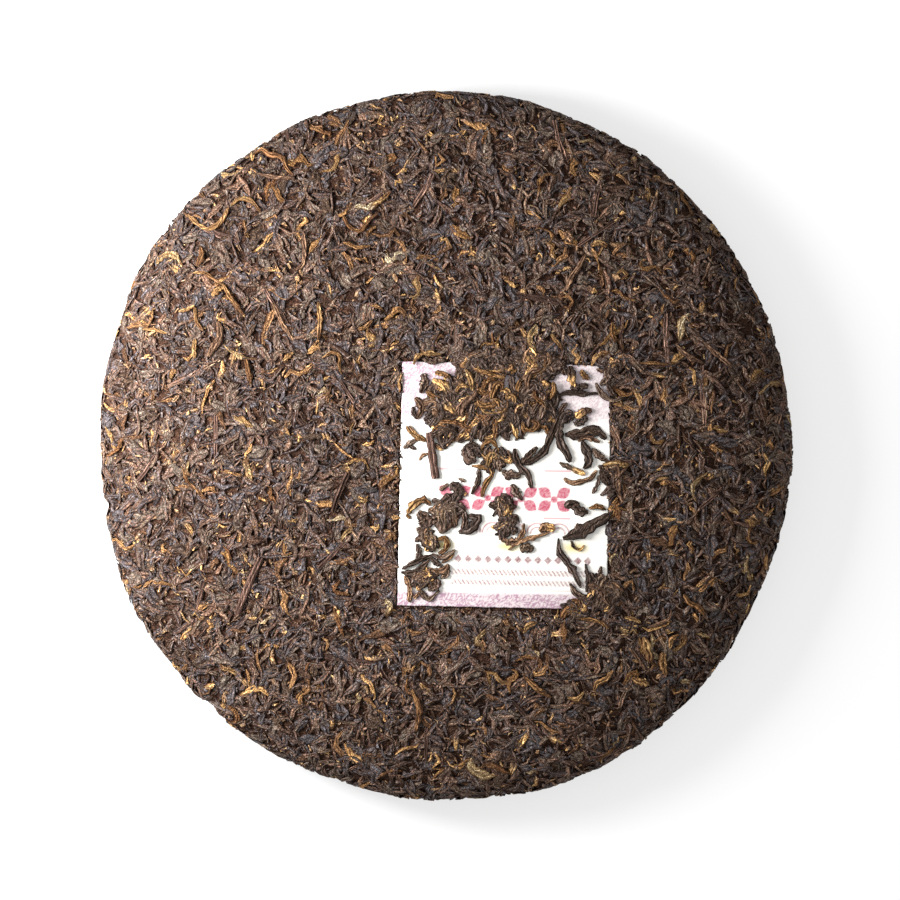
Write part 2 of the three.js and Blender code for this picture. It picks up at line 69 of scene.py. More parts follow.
LEAF_MARKS = "leaf"
LEAF_GRAIN = "grain"
INK = "ink"


def linear(colour: str) -> tuple[float, float, float, float]:
    """Turns an sRGB hex colour to linear light.

    Args:
        colour: the colour as "#rrggbb"

    Returns:
        Red, green, blue and an alpha of one.
    """
    shares = [int(colour[k : k + 2], 16) / 255.0 for k in (1, 3, 5)]
    light = [s / 12.92 if s <= 0.04045 else ((s + 0.055) / 1.055) ** 2.4 for s in shares]
    return (light[0], light[1], light[2], 1.0)


def add_node(
    tree: bpy.types.NodeTree,
    kind: str,
    settings: dict[str, object] | None = None,
    inputs: dict[str | int, object] | None = None,
) -> bpy.types.Node:
    """Adds a node with its settings and links.

    Args:
        tree: the node tree that gets it
        kind: the node's type
        settings: values of its properties
        inputs: a value or another node's output for each input, by name or number

    Returns:
        The new node.
    """
    node = tree.nodes.new(kind)
    for name, value in (settings or {}).items():
        setattr(node, name, value)
    for name, value in (inputs or {}).items():
        if isinstance(value, bpy.types.NodeSocket):
            tree.links.new(value, node.inputs[name])
        else:
            node.inputs[name].default_value = value
    return node


def new_material(name: str) -> tuple[bpy.types.Material, bpy.types.NodeTree, bpy.types.Node]:
    """Makes an empty material.

    Args:
        name: the material's name

    Returns:
        The material, its node tree and its output node.
    """
    material = bpy.data.materials.new(name)
    material.use_nodes = True
    material.node_tree.nodes.clear()
    output = add_node(material.node_tree, "ShaderNodeOutputMaterial")
    return material, material.node_tree, output


class Slot(Enum):
    """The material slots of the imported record."""

    TEA = "pressed_tea"
    PAPER = "ticket_paper"


class Node(Enum):
    """The solids that the pieces stand for."""

    CAKE = "tea_cake"
    TICKET = "paper_ticket"


def place_piece(name: str, mesh: bpy.types.Mesh, material: bpy.types.Material, node: Node) -> None:
    """Shows a finished mesh as a piece of the object.

    Args:
        name: the piece's name
        mesh: its mesh, with its place in it, in metres
        material: its finish
        node: the solid that it stands for
    """
    mesh.materials.append(material)
    piece = bpy.data.objects.new(name, mesh)
    bpy.context.scene.collection.objects.link(piece)
    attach(piece, "root")
    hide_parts(node.value)
    triangles = sum(len(polygon.vertices) - 2 for polygon in mesh.polygons)
    LOG.info("%s: %d triangles", name, triangles)


@dataclass(frozen=True)
class CakeForm:
    """The bare form of the cake under its leaves: outline, dome, rim, seat and nest."""

    core_radius: float = 99.3
    crown_height: float = 25.3
    rim_height: float = 9.5
    fullness: float = 2.4
    roundness: float = 2.4
    underside_lift: float = 0.9
    flat_share: float = 0.89
    seat_inner: float = 0.52
    seat_outer: float = 0.6
    seat_edge: float = 0.02
    nest_share: float = 0.27
    nest_depth: float = 9.0
    nest_fullness: float = 1.2
    waves: tuple[tuple[int, float, float], ...] = (
        (2, 1.25, 163.0),
        (4, 0.31, -138.0),
        (5, 0.4, -15.0),
        (7, 0.15, 40.0),
        (12, 0.2, 75.0),
        (19, 0.2, 10.0),
    )
    notches: tuple[tuple[float, float, float], ...] = (
        (190.0, 1.3, 2.2),
        (228.0, 1.1, 3.0),
        (300.0, 0.8, 2.5),
    )

    def outline(self, angle: np.ndarray) -> np.ndarray:
        """Gives how far the core reaches in each direction.

        Args:
            angle: directions from the middle, in radians

        Returns:
            The reach as a share of the core's mean radius.
        """
        reach = np.full_like(angle, self.core_radius)
        for waves, swell, turn in self.waves:
            reach += swell * np.cos(waves * angle + math.radians(turn))
        for where, depth, width in self.notches:
            turned = angle - math.radians(where)
            along = np.arctan2(np.sin(turned), np.cos(turned)) * self.core_radius
            reach -= depth * np.exp(-((along / width) ** 2))
        return reach / self.core_radius

    def dome(self, share: np.ndarray) -> np.ndarray:
        """Gives the height of the top, by the share of the way out to the edge."""
        fall = np.maximum(0.0, 1.0 - share**self.fullness)
        return self.rim_height + (self.crown_height - self.rim_height) * fall ** (1.0 / self.roundness)

    def underside(self, share: np.ndarray) -> np.ndarray:
        """Gives the height of the flat underside, its seat and its nest, by the share of the way out."""
        from_seat = np.maximum(np.maximum(self.seat_inner - share, share - self.seat_outer), 0.0)
        lift = self.underside_lift * np.minimum(1.0, from_seat / self.seat_edge)
        into_nest = np.maximum(0.0, 1.0 - (share / self.nest_share) ** 2)
        return lift + self.nest_depth * into_nest**self.nest_fullness

    def profile(self, steps: int) -> tuple[np.ndarray, np.ndarray]:
        """Walks round half a cut through the core, from the crown over the rim to the nest.

        Args:
            steps: points on each of its three stretches

        Returns:
            The share of the way out and the height of each point.
        """
        turn = np.linspace(0.0, math.pi / 2.0, steps)
        top_share = np.sin(turn) ** (2.0 / self.fullness)
        under_turn = turn[1:]
        corner_share = self.flat_share + (1.0 - self.flat_share) * np.cos(under_turn)
        corner_height = self.rim_height - (self.rim_height - self.underside_lift) * np.sin(under_turn)
        flat_share = np.linspace(self.flat_share, 0.0, steps)[1:]
        shares = np.concatenate([top_share, corner_share, flat_share])
        heights = np.concatenate([self.dome(top_share), corner_height, self.underside(flat_share)])
        return shares, heights

    def height_over(self, across: np.ndarray, away: np.ndarray) -> np.ndarray:
        """Gives the height of the bare top over points of the floor."""
        share = np.hypot(across, away) / (self.core_radius * self.outline(np.arctan2(away, across)))
        return self.dome(np.minimum(share, 1.0))


class Wrap:
    """A flat map of one side of the cake, in millimetres along its skin."""

    def __init__(self, form: CakeForm, from_below: bool) -> None:
        """Measures the way along the skin.

        Args:
            form: the cake's form
            from_below: whether the map starts in the nest and not on the crown
        """
        shares, heights = form.profile(500)
        if from_below:
            shares, heights = shares[::-1], heights[::-1]
        self.form = form
        self.hand = -1.0 if from_below else 1.0
        self.radii = shares * form.core_radius
        self.heights = heights
        steps = np.hypot(np.diff(self.radii), np.diff(heights))
        self.arc = np.concatenate([[0.0], np.cumsum(steps)])
        rings = math.pi * (self.radii[1:] + self.radii[:-1]) * steps
        self.area = np.concatenate([[0.0], np.cumsum(rings)])
        outward, upward = np.gradient(self.radii, self.arc), np.gradient(heights, self.arc)
        length = np.hypot(outward, upward)
        self.normal_out = -self.hand * upward / length
        self.normal_up = self.hand * outward / length

    def spread(self, count: int, start: float, stop: float, rng: np.random.Generator) -> np.ndarray:
        """Spreads points evenly over a band of the skin.

        Args:
            count: how many points
            start: where the band starts, along the skin from the map's middle
            stop: where the band ends
            rng: the source of the small irregular steps

        Returns:
            One flat place for each point.
        """
        first, last = np.interp([start, stop], self.arc, self.area)
        order = (np.arange(count) + rng.uniform(0.0, 1.0, count)) / count
        reach = np.interp(first + (last - first) * order, self.area, self.arc)
        angle = np.arange(count) * GOLDEN_ANGLE + rng.uniform(0.0, math.tau)
        flat = np.stack([reach * np.cos(angle), reach * np.sin(angle)], axis=-1)
        spacing = math.sqrt((last - first) / count)
        return flat + rng.normal(0.0, 0.35 * spacing, flat.shape)

    def around(self, middles: np.ndarray, offsets: np.ndarray) -> np.ndarray:
        """Adds true offsets on the skin to flat places.

        Round the rim the flat map is wider than the skin, so that the offsets are widened with it.

        Args:
            middles: flat places, one for each leaf
            offsets: offsets from them in true millimetres, any number for each leaf

        Returns:
            The flat places of the offset points.
        """
        reach = np.maximum(np.hypot(middles[:, 0], middles[:, 1]), 1e-6)
        outward = middles / reach[:, None]
        onward = np.stack([-outward[:, 1], outward[:, 0]], axis=-1)
        stretch = reach / np.maximum(np.interp(reach, self.arc, self.radii), 1.0)
        stretch = np.clip(stretch, 1.0, 1.5)
        flat_shape = (len(middles),) + (1,) * (offsets.ndim - 2) + (2,)
        out_part = (offsets * outward.reshape(flat_shape)).sum(-1, keepdims=True)
        on_part = (offsets * onward.reshape(flat_shape)).sum(-1, keepdims=True)
        wide = stretch.reshape(flat_shape[:-1] + (1,))
        return (
            middles.reshape(flat_shape)
            + out_part * outward.reshape(flat_shape)
            + on_part * wide * onward.reshape(flat_shape)
        )

    def place(self, flat: np.ndarray, lift: np.ndarray) -> np.ndarray:
        """Puts points of the flat map on the cake.

        Args:
            flat: places on the map
            lift: how far each point stands off the bare skin

        Returns:
            Points in space.
        """
        reach = np.hypot(flat[..., 0], flat[..., 1])
        angle = self.hand * np.arctan2(flat[..., 1], flat[..., 0])
        radius = np.interp(reach, self.arc, self.radii) * self.form.outline(angle)
        radius = radius + lift * np.interp(reach, self.arc, self.normal_out)
        height = np.interp(reach, self.arc, self.heights) + lift * np.interp(reach, self.arc, self.normal_up)
        return np.stack([radius * np.cos(angle), radius * np.sin(angle), height], axis=-1)


@dataclass(frozen=True)
class TicketPlace:
    """Where the ticket lies, and how its paper runs over the dome."""

    form: CakeForm
    width: float = 58.8
    height: float = 68.5
    middle_x: float = 16.9
    middle_y: float = -11.1
    turn: float = -1.2
    rise: float = 0.2
    wave: float = 0.25

    def from_cake(self, points: np.ndarray) -> np.ndarray:
        """Turns places counted from the cake's middle to places counted from the ticket's."""
        cos, sin = math.cos(math.radians(self.turn)), math.sin(math.radians(self.turn))
        x, y = points[..., 0] - self.middle_x, points[..., 1] - self.middle_y
        return np.stack([x * cos + y * sin, y * cos - x * sin], axis=-1)

    def to_cake(self, points: np.ndarray) -> np.ndarray:
        """Turns places counted from the ticket's middle to places counted from the cake's."""
        cos, sin = math.cos(math.radians(self.turn)), math.sin(math.radians(self.turn))
        x, y = points[..., 0], points[..., 1]
        return np.stack([self.middle_x + x * cos - y * sin, self.middle_y + x * sin + y * cos], axis=-1)

    def place(self, flat: np.ndarray, lift: np.ndarray) -> np.ndarray:
        """Puts points of the ticket on the cake, each lifted off the paper's face."""
        spot = self.to_cake(flat)
        x, y = spot[..., 0], spot[..., 1]
        ripple = self.wave * np.sin(x / 8.5 + 0.6) * np.cos(y / 10.5 - 0.4)
        return np.stack([x, y, self.form.height_over(x, y) + self.rise + ripple + lift], axis=-1)

    def depth_inside(self, points: np.ndarray) -> np.ndarray:
        """Gives how far points lie inside each of the ticket's four edges.

        Args:
            points: places counted from the cake's middle

        Returns:
            Depths inside the right, left, far and near edge, in the last axis.
        """
        local = self.from_cake(points)
        x, y = local[..., 0], local[..., 1]
        half_w, half_h = self.width / 2.0, self.height / 2.0
        return np.stack([half_w - x, half_w + x, half_h - y, half_h + y], axis=-1)


@dataclass(frozen=True)
class Section:
    """A cut through a leaf: points round it, and how much painted light each one's place gets, high on its ridges and
    low at its edges.
    """

    across: tuple[float, ...]
    up: tuple[float, ...]
    crest: tuple[float, ...]

    def ring(self) -> np.ndarray:
        """Gives the points as pairs of across and up."""
        return np.stack([np.array(self.across), np.array(self.up)], axis=-1)


# Each section runs round the leaf from its left edge over the top
# The crest marks paint the ridges lighter and the edges darker: painted highlight and painted shade
ROLLED_CUT = Section(
    across=(1.0, 0.48, 0.03, -0.42, -1.0, 0.0),
    up=(-0.1, 0.85, 0.4, 0.95, -0.05, -0.9),
    crest=(0.0, 1.0, 0.15, 0.95, 0.0, 0.0),
)
WIRY_CUT = Section(
    across=(1.0, 0.3, -0.38, -1.0, 0.0),
    up=(-0.05, 0.95, 0.9, -0.05, -0.9),
    crest=(0.0, 1.0, 0.9, 0.0, 0.0),
)
BROAD_CUT = Section(
    across=(1.0, 0.5, 0.02, -0.45, -1.0, 0.0),
    up=(0.3, 0.75, 0.15, 0.85, 0.2, -0.7),
    crest=(0.15, 0.95, 0.1, 0.9, 0.1, 0.0),
)
CRUMB_CUT = Section(
    across=(1.0, 0.1, -1.0, -0.1),
    up=(0.1, 0.9, 0.0, -0.9),
    crest=(0.5, 1.0, 0.5, 0.1),
)


@dataclass
class LeafBatch:
    """Many leaves of one kind as rings of points, ready to be made one mesh."""

    points: np.ndarray
    marks: np.ndarray
    grain: np.ndarray

    def joined(self, other: LeafBatch) -> LeafBatch:
        """Joins another batch with the same rings to this one."""
        return LeafBatch(
            np.concatenate([self.points, other.points]),
            np.concatenate([self.marks, other.marks]),
            np.concatenate([self.grain, other.grain]),
        )

    def mesh(self, name: str, shift: np.ndarray) -> bpy.types.Mesh:
        """Makes one closed mesh of all the leaves, each with its own cell in the bake's map.

        Args:
            name: the mesh's name
            shift: where the cake's middle is in the frame

        Returns:
            The mesh, in metres.
        """
        leaves, stations, sides, _ = self.points.shape
        each = stations * sides
        station, side = np.meshgrid(np.arange(stations - 1), np.arange(sides), indexing="ij")
        beside = (side + 1) % sides
        quads = np.stack(
            [
                station * sides + side,
                station * sides + beside,
                (station + 1) * sides + beside,
                (station + 1) * sides + side,
            ],
            axis=-1,
        ).reshape(-1, 4)
        caps = np.stack([np.arange(sides)[::-1], (stations - 1) * sides + np.arange(sides)])
        starts = (np.arange(leaves) * each)[:, None, None]
        loops = np.concatenate([(starts + quads).reshape(-1), (starts + caps).reshape(-1)])
        sizes = np.concatenate([np.full(leaves * len(quads), 4), np.full(leaves * 2, sides)])

        mesh = bpy.data.meshes.new(name)
        mesh.vertices.add(leaves * each)
        mesh.vertices.foreach_set("co", ((self.points + shift) * METRES).reshape(-1))
        mesh.loops.add(len(loops))
        mesh.loops.foreach_set("vertex_index", loops.astype(np.int32))
        mesh.polygons.add(len(sizes))
        mesh.polygons.foreach_set("loop_start", (np.cumsum(sizes) - sizes).astype(np.int32))
        mesh.update(calc_edges=True)
        mesh.shade_flat()
        marks = mesh.attributes.new(LEAF_MARKS, "FLOAT_COLOR", "POINT")
        marks.data.foreach_set("color", self.marks.reshape(-1))
        grain = mesh.attributes.new(LEAF_GRAIN, "FLOAT_VECTOR", "POINT")
        grain.data.foreach_set("vector", self.grain.reshape(-1))
        mesh.uv_layers.new(name=ATLAS).data.foreach_set("uv", self.atlas(quads, caps).reshape(-1))
        return mesh

    def atlas(self, quads: np.ndarray, caps: np.ndarray) -> np.ndarray:
        """Lays each leaf out in a cell of its own, its skin unrolled over its two ends.

        Args:
            quads: the corners of one leaf's side faces
            caps: the corners of its two end faces

        Returns:
            A place in the map for each corner of each face.
        """
        leaves, stations, sides, _ = self.points.shape
        columns = math.ceil(math.sqrt(leaves))
        cell = np.arange(leaves)
        corner = np.stack([cell % columns, cell // columns], axis=-1)[:, None, :]
        station, side = quads // sides, (quads % sides).astype(float)
        side[:, 1][side[:, 1] == 0] = sides
        side[:, 2][side[:, 2] == 0] = sides
        skin = np.stack([0.06 + 0.88 * side / sides, 0.24 + 0.7 * station / (stations - 1)], axis=-1)
        turn = math.tau * np.arange(sides) / sides
        round_cap = 0.07 * np.stack([np.cos(turn), np.sin(turn)], axis=-1)
        ends = np.concatenate([round_cap + (0.25, 0.1), round_cap + (0.75, 0.1)])
        skins = (corner + skin.reshape(1, -1, 2)).reshape(-1, 2)
        return np.concatenate([skins, (corner + ends[None]).reshape(-1, 2)]) / columns


def swept(
    paths: np.ndarray,
    half_widths: np.ndarray,
    half_heights: np.ndarray,
    twists: np.ndarray,
    section: Section,
    ragged: float,
    rng: np.random.Generator,
) -> tuple[np.ndarray, np.ndarray]:
    """Sweeps a section along centre lines on a flat map.

    Args:
        paths: leaves by stations, each a flat point
        half_widths: half the leaf's width at each station
        half_heights: half its height at each station
        twists: how far the section is turned about the line at each station
        section: the leaf's cut
        ragged: how irregular the skin is, as a share of its half sizes
        rng: the source of that irregularity

    Returns:
        Flat places and lifts of the ring points, leaves by stations by sides.
    """
    ring = section.ring()
    leaves, stations, _ = paths.shape
    rough = rng.normal(0.0, ragged, (leaves, stations, len(ring), 2))
    across = (ring[:, 0] + rough[..., 0]) * half_widths[..., None]
    up = (ring[:, 1] + rough[..., 1]) * half_heights[..., None]
    cos, sin = np.cos(twists)[..., None], np.sin(twists)[..., None]
    side_part, lift = across * cos - up * sin, across * sin + up * cos
    along = np.gradient(paths, axis=1)
    along /= np.maximum(np.linalg.norm(along, axis=-1, keepdims=True), 1e-6)
    left = np.stack([-along[..., 1], along[..., 0]], axis=-1)
    return paths[:, :, None, :] + side_part[..., None] * left[:, :, None, :], lift


def leaf_marks(
    tones: np.ndarray, chances: np.ndarray, stations: np.ndarray, section: Section
) -> np.ndarray:
    """Gives each point of each leaf what its colour follows.

    Args:
        tones: one number from 0 to 1 for each leaf, for its own colour
        chances: another one for each leaf, for whether it has a coloured tip
        stations: how far along the leaf each ring is
        section: the leaf's cut

    Returns:
        Tone, way along, crest (for the painted highlight and painted shade) and chance for each point.
    """
    shape = (len(tones), len(stations), len(section.crest))
    return np.stack(
        [
            np.broadcast_to(tones[:, None, None], shape),
            np.broadcast_to(stations[None, :, None], shape),
            np.broadcast_to(np.array(section.crest)[None, None, :], shape),
            np.broadcast_to(chances[:, None, None], shape),
        ],
        axis=-1,
    ).astype(np.float32)


def leaf_grain(
    lengths: np.ndarray, widths: np.ndarray, stations: np.ndarray, section: Section, rng: np.random.Generator
) -> np.ndarray:
    """Gives each point its way along and round its leaf in millimetres, for a grain that follows the leaf.

    Args:
        lengths: each leaf's length
        widths: each leaf's width
        stations: how far along the leaf each ring is
        section: the leaf's cut
        rng: the source of how far each leaf's grain slants, and of where it starts

    Returns:
        Way along, way round and the leaf's own start for each point.
    """
    ring = section.ring()
    steps = np.linalg.norm(np.diff(ring, axis=0), axis=1)
    round_way = np.concatenate([[0.0], np.cumsum(steps)])
    along = lengths[:, None, None] * stations[None, :, None]
    slant = rng.normal(0.0, 0.25, len(lengths))[:, None, None]
    aside = 0.5 * widths[:, None, None] * round_way[None, None, :] + slant * along
    shape = (len(lengths), len(stations), len(ring))
    start = rng.uniform(0.0, 500.0, len(lengths))[:, None, None]
    parts = [np.broadcast_to(along, shape), np.broadcast_to(aside, shape), np.broadcast_to(start, shape)]
    return np.stack(parts, axis=-1).astype(np.float32)


@dataclass(frozen=True)
class LeafKind:
    """The sizes and habits of one kind of leaf in the cake."""

    name: str
    length: tuple[float, float]
    width: tuple[float, float]
    height: float
    section: Section
    stations: tuple[float, ...]
    lift: tuple[float, float]
    bend: float = 0.8
    wander: float = 0.35
    hook: float = 0.0
    hooked: float = 0.0
    twist: float = 0.5
    ragged: float = 0.14
    end_width: float = 0.35
    dive: float = 0.5
    pitch: float = 0.3
    clustered: float = 0.0

    def grow(
        self, count: int, rng: np.random.Generator
    ) -> tuple[np.ndarray, np.ndarray, np.ndarray, np.ndarray]:
        """Grows leaves about their own middles, with random headings left to the caller.

        Args:
            count: how many leaves
            rng: the source of their differences

        Returns:
            Flat offsets, lifts, marks and grain of their ring points.
        """
        along = np.array(self.stations)
        long = rng.uniform(*self.length, count)
        wide = rng.uniform(*self.width, count) * np.clip(long / np.mean(self.length), 0.7, 1.3) ** 0.5
        middle_way = (along[1:] + along[:-1]) / 2.0
        heading = rng.normal(0.0, self.bend, (count, 1)) * (middle_way - 0.5)
        phase = rng.uniform(0.0, math.tau, (count, 1))
        heading = heading + rng.normal(0.0, self.wander, (count, 1)) * np.sin(math.tau * middle_way * 1.3 + phase)
        hooks = np.where(rng.uniform(size=count) < self.hooked, self.hook, 0.0)
        hooks *= rng.choice([-1.0, 1.0], count) * rng.uniform(0.6, 1.2, count)
        heading = heading + hooks[:, None] * np.clip((middle_way - 0.5) / 0.5, 0.0, 1.0) ** 1.2
        steps = np.stack([np.cos(heading), np.sin(heading)], axis=-1)
        steps = steps * (np.diff(along)[None, :] * long[:, None])[..., None]
        paths = np.concatenate([np.zeros((count, 1, 2)), np.cumsum(steps, axis=1)], axis=1)
        paths = paths - paths.mean(axis=1, keepdims=True)

        skew = rng.uniform(0.7, 1.4, (count, 1))
        swell = np.sin(math.pi * np.clip(along[None, :] ** skew, 0.0, 1.0))
        swell = self.end_width + (1.0 - self.end_width) * swell**0.7
        pinch = np.clip(rng.normal(1.0, self.ragged, (count, len(along))), 0.6, 1.4)
        half_widths = wide[:, None] / 2.0 * swell * pinch
        half_heights = wide[:, None] / 2.0 * self.height * (0.5 + 0.5 * swell)
        twists = rng.normal(0.0, self.twist, (count, 1)) + rng.normal(0.0, self.twist, (count, 1)) * (along - 0.5)
        flat, lift = swept(paths, half_widths, half_heights, twists, self.section, self.ragged, rng)

        base = rng.uniform(*self.lift, (count, 1))
        base = base + rng.normal(0.0, self.pitch, (count, 1)) * (2.0 * along - 1.0)
        base = base - self.dive * np.abs(2.0 * along - 1.0) ** 3
        tones = rng.uniform(size=count) ** 1.3
        marks = leaf_marks(tones, rng.uniform(size=count), along, self.section)
        grain = leaf_grain(long, wide, along, self.section, rng)
        return flat, lift + base[..., None], marks, grain


FOUR_RINGS = (0.0, 0.33, 0.67, 1.0)
FIVE_RINGS = (0.0, 0.25, 0.5, 0.75, 1.0)
SIX_RINGS = (0.0, 0.2, 0.4, 0.6, 0.8, 1.0)
HOOK_RINGS = (0.0, 0.22, 0.44, 0.6, 0.74, 0.87, 1.0)
LONG_RINGS = (0.0, 0.14, 0.28, 0.42, 0.55, 0.68, 0.8, 0.9, 1.0)

BROAD = LeafKind(
    name="broad",
    length=(4.0, 8.5),
    width=(2.0, 3.6),
    height=0.22,
    section=BROAD_CUT,
    stations=SIX_RINGS,
    lift=(-0.1, 0.55),
    bend=0.6,
    ragged=0.26,
    end_width=0.4,
    twist=0.25,
)
ROLLED = LeafKind(
    name="rolled",
    length=(4.0, 10.5),
    width=(1.3, 2.5),
    height=0.42,
    section=ROLLED_CUT,
    stations=FIVE_RINGS,
    lift=(-0.35, 0.5),
    ragged=0.22,
)
WIRY = LeafKind(
    name="wiry",
    length=(3.0, 9.5),
    width=(0.65, 1.35),
    height=0.65,
    section=WIRY_CUT,
    stations=FIVE_RINGS,
    lift=(-0.35, 0.5),
    bend=1.1,
    wander=0.5,
    ragged=0.22,
)
BROWN = LeafKind(
    name="brown",
    length=(4.0, 11.0),
    width=(1.1, 2.2),
    height=0.5,
    section=ROLLED_CUT,
    stations=FIVE_RINGS,
    lift=(-0.1, 0.6),
    bend=1.2,
    wander=0.6,
    hook=1.8,
    hooked=0.3,
    ragged=0.22,
)
FRAGMENT = LeafKind(
    name="broken",
    length=(1.2, 3.6),
    width=(0.55, 1.4),
    height=0.5,
    section=WIRY_CUT,
    stations=FOUR_RINGS,
    lift=(-0.35, 0.45),
    bend=1.2,
    ragged=0.28,
    end_width=0.45,
    dive=0.25,
    twist=0.7,
)
GOLDEN = LeafKind(
    name="golden",
    length=(3.5, 10.0),
    width=(1.2, 2.5),
    height=0.5,
    section=ROLLED_CUT,
    stations=HOOK_RINGS,
    lift=(0.35, 0.7),
    bend=1.3,
    wander=0.6,
    hook=2.6,
    hooked=0.45,
    end_width=0.3,
    ragged=0.24,
    clustered=0.85,
)
HOOK = LeafKind(
    name="golden_hook",
    length=(6.5, 13.0),
    width=(1.2, 2.4),
    height=0.5,
    section=ROLLED_CUT,
    stations=LONG_RINGS,
    lift=(0.4, 0.65),
    bend=1.4,
    wander=0.7,
    hook=3.0,
    hooked=0.5,
    end_width=0.3,
    ragged=0.24,
    dive=0.35,
    pitch=0.15,
    clustered=0.6,
)
STEM = LeafKind(
    name="stem",
    length=(8.0, 17.0),
    width=(1.0, 2.0),
    height=0.8,
    section=ROLLED_CUT,
    stations=FIVE_RINGS,
    lift=(0.1, 0.4),
    bend=0.2,
    wander=0.1,
    twist=0.2,
    ragged=0.08,
    end_width=0.85,
    dive=0.2,
    pitch=0.15,
)
CRUMB = LeafKind(
    name="crumb",
    length=(0.7, 1.8),
    width=(0.4, 1.0),
    height=0.8,
    section=CRUMB_CUT,
    stations=(0.0, 1.0),
    lift=(-0.3, 0.5),
    ragged=0.25,
    end_width=0.7,
    dive=0.0,
    pitch=0.1,
)


@dataclass(frozen=True)
class TeaFinish:
    """Fermented tea leaf, rolled, dried and pressed.

    Its skin is matt, dark and finely crumpled, with thin creases that run along the leaf. Its colour is
    painted lighter on the crests, a painted highlight, and darker in the folds, in the furrows and in a thin
    line round each leaf, a painted shade; each leaf has its own tone.
    """

    name: str
    stops: tuple[tuple[float, str], ...]
    tip: str = "#95774a"
    tipped: float = 0.0
    # Painted shade: the colour that folds, furrows and leaf outlines are darkened towards, and the power that sets how
    # deep it goes
    painted_fold_shade: str = "#70340c"
    painted_shade_power: float = 1.5
    # Painted highlight: how much lighter, and a little cooler, the crests are painted
    painted_crest_highlight: float = 4.3
    painted_highlight_coolness: float = 0.08
    crest_roughness: float = 0.27
    fold_roughness: float = 0.95
    specular: float = 0.12
    patch_size: float = 14.0
    patch_tone: float = 0.9
    crease_length: float = 2.4
    crease_width: float = 0.55
    crinkle_size: float = 0.8
    crinkle_share: float = 0.5
    # Painted shade: how dark the furrows are painted, how far the dark outline reaches in from a leaf's edge, and how
    # dark the face is painted away from its crests
    painted_furrow_shade: float = 0.75
    painted_outline_reach: float = 0.4
    painted_face_shade_floor: float = 0.6
    crumple_height: float = 0.6
    grain_tone: float = 0.8

    def material(self) -> bpy.types.Material:
        """Makes the finish's material."""
        material, tree, output = new_material(self.name)
        marks = add_node(tree, "ShaderNodeAttribute", {"attribute_name": LEAF_MARKS})
        parts = add_node(tree, "ShaderNodeSeparateColor", inputs={"Color": marks.outputs["Color"]})
        place = add_node(tree, "ShaderNodeTexCoord").outputs["Object"]
        grain, creases = self.creases(tree)
        crinkles = self.crinkles(tree, place)
        relief = add_node(
            tree,
            "ShaderNodeMix",
            {"data_type": "FLOAT"},
            {"Factor": self.crinkle_share, "A": creases, "B": crinkles},
        )
        coloured = self.colours(tree, marks, parts, place, grain)
        # Painted light: the colour is darkened towards the painted fold shade in folds, furrows and leaf outlines, and
        # lightened by the painted crest highlight on open faces; the same share sets the roughness
        opened = self.painted_shade_and_polish(tree, parts.outputs["Blue"], relief.outputs["Result"])
        light = add_node(
            tree,
            "ShaderNodeMix",
            {"data_type": "RGBA"},
            {
                "Factor": opened,
                "A": linear(self.painted_fold_shade),
                "B": self.painted_highlight_tint(),
            },
        )
        base = add_node(
            tree, "ShaderNodeVectorMath", {"operation": "MULTIPLY"}, {0: coloured, 1: light.outputs["Result"]}
        )
        polish = add_node(
            tree,
            "ShaderNodeMapRange",
            inputs={"Value": opened, "To Min": self.fold_roughness, "To Max": self.crest_roughness},
        )
        bump = add_node(
            tree,
            "ShaderNodeBump",
            inputs={
                "Strength": 1.0,
                "Distance": self.crumple_height * METRES,
                "Height": relief.outputs["Result"],
            },
        )
        shader = add_node(
            tree,
            "ShaderNodeBsdfPrincipled",
            inputs={
                "Base Color": base.outputs[0],
                "Roughness": polish.outputs[0],
                "Specular IOR Level": self.specular,
                "Normal": bump.outputs["Normal"],
            },
        )
        tree.links.new(shader.outputs[0], output.inputs["Surface"])
        return material

    def painted_shade_and_polish(
        self, tree: bpy.types.NodeTree, crest: bpy.types.NodeSocket, relief: bpy.types.NodeSocket
    ) -> bpy.types.NodeSocket:
        """Adds the share of painted light at each place, which also sets the roughness: painted shade as a thin dark
        line round each leaf and in its furrows, and an even face.

        Args:
            tree: the material's nodes
            crest: the leaf's crest, 0 at its edges and 1 along its ridges
            relief: its furrows, 0 in them and 1 between

        Returns:
            0 in the deepest folds and 1 on the open faces.
        """
        outline = add_node(tree, "ShaderNodeMapRange", inputs={"Value": crest, "From Max": self.painted_outline_reach})
        face = add_node(tree, "ShaderNodeMapRange", inputs={"Value": crest, "To Min": self.painted_face_shade_floor, "To Max": 1.0})
        furrowed = add_node(
            tree, "ShaderNodeMapRange", inputs={"Value": relief, "To Min": 1.0 - self.painted_furrow_shade, "To Max": 1.0}
        )
        lined = add_node(
            tree, "ShaderNodeMath", {"operation": "MULTIPLY"}, {0: outline.outputs[0], 1: furrowed.outputs[0]}
        )
        lit = add_node(tree, "ShaderNodeMath", {"operation": "MULTIPLY"}, {0: lined.outputs[0], 1: face.outputs[0]})
        opened = add_node(tree, "ShaderNodeMath", {"operation": "POWER"}, {0: lit.outputs[0], 1: self.painted_shade_power})
        return opened.outputs[0]

    def painted_highlight_tint(self) -> tuple[float, float, float, float]:
        """Gives the painted highlight of the crests: how much lighter, and a little cooler, their colour is painted
        than the leaf's colour.
        """
        light, cool = self.painted_crest_highlight, self.painted_highlight_coolness
        return (light, light, light * (1.0 + cool), 1.0)

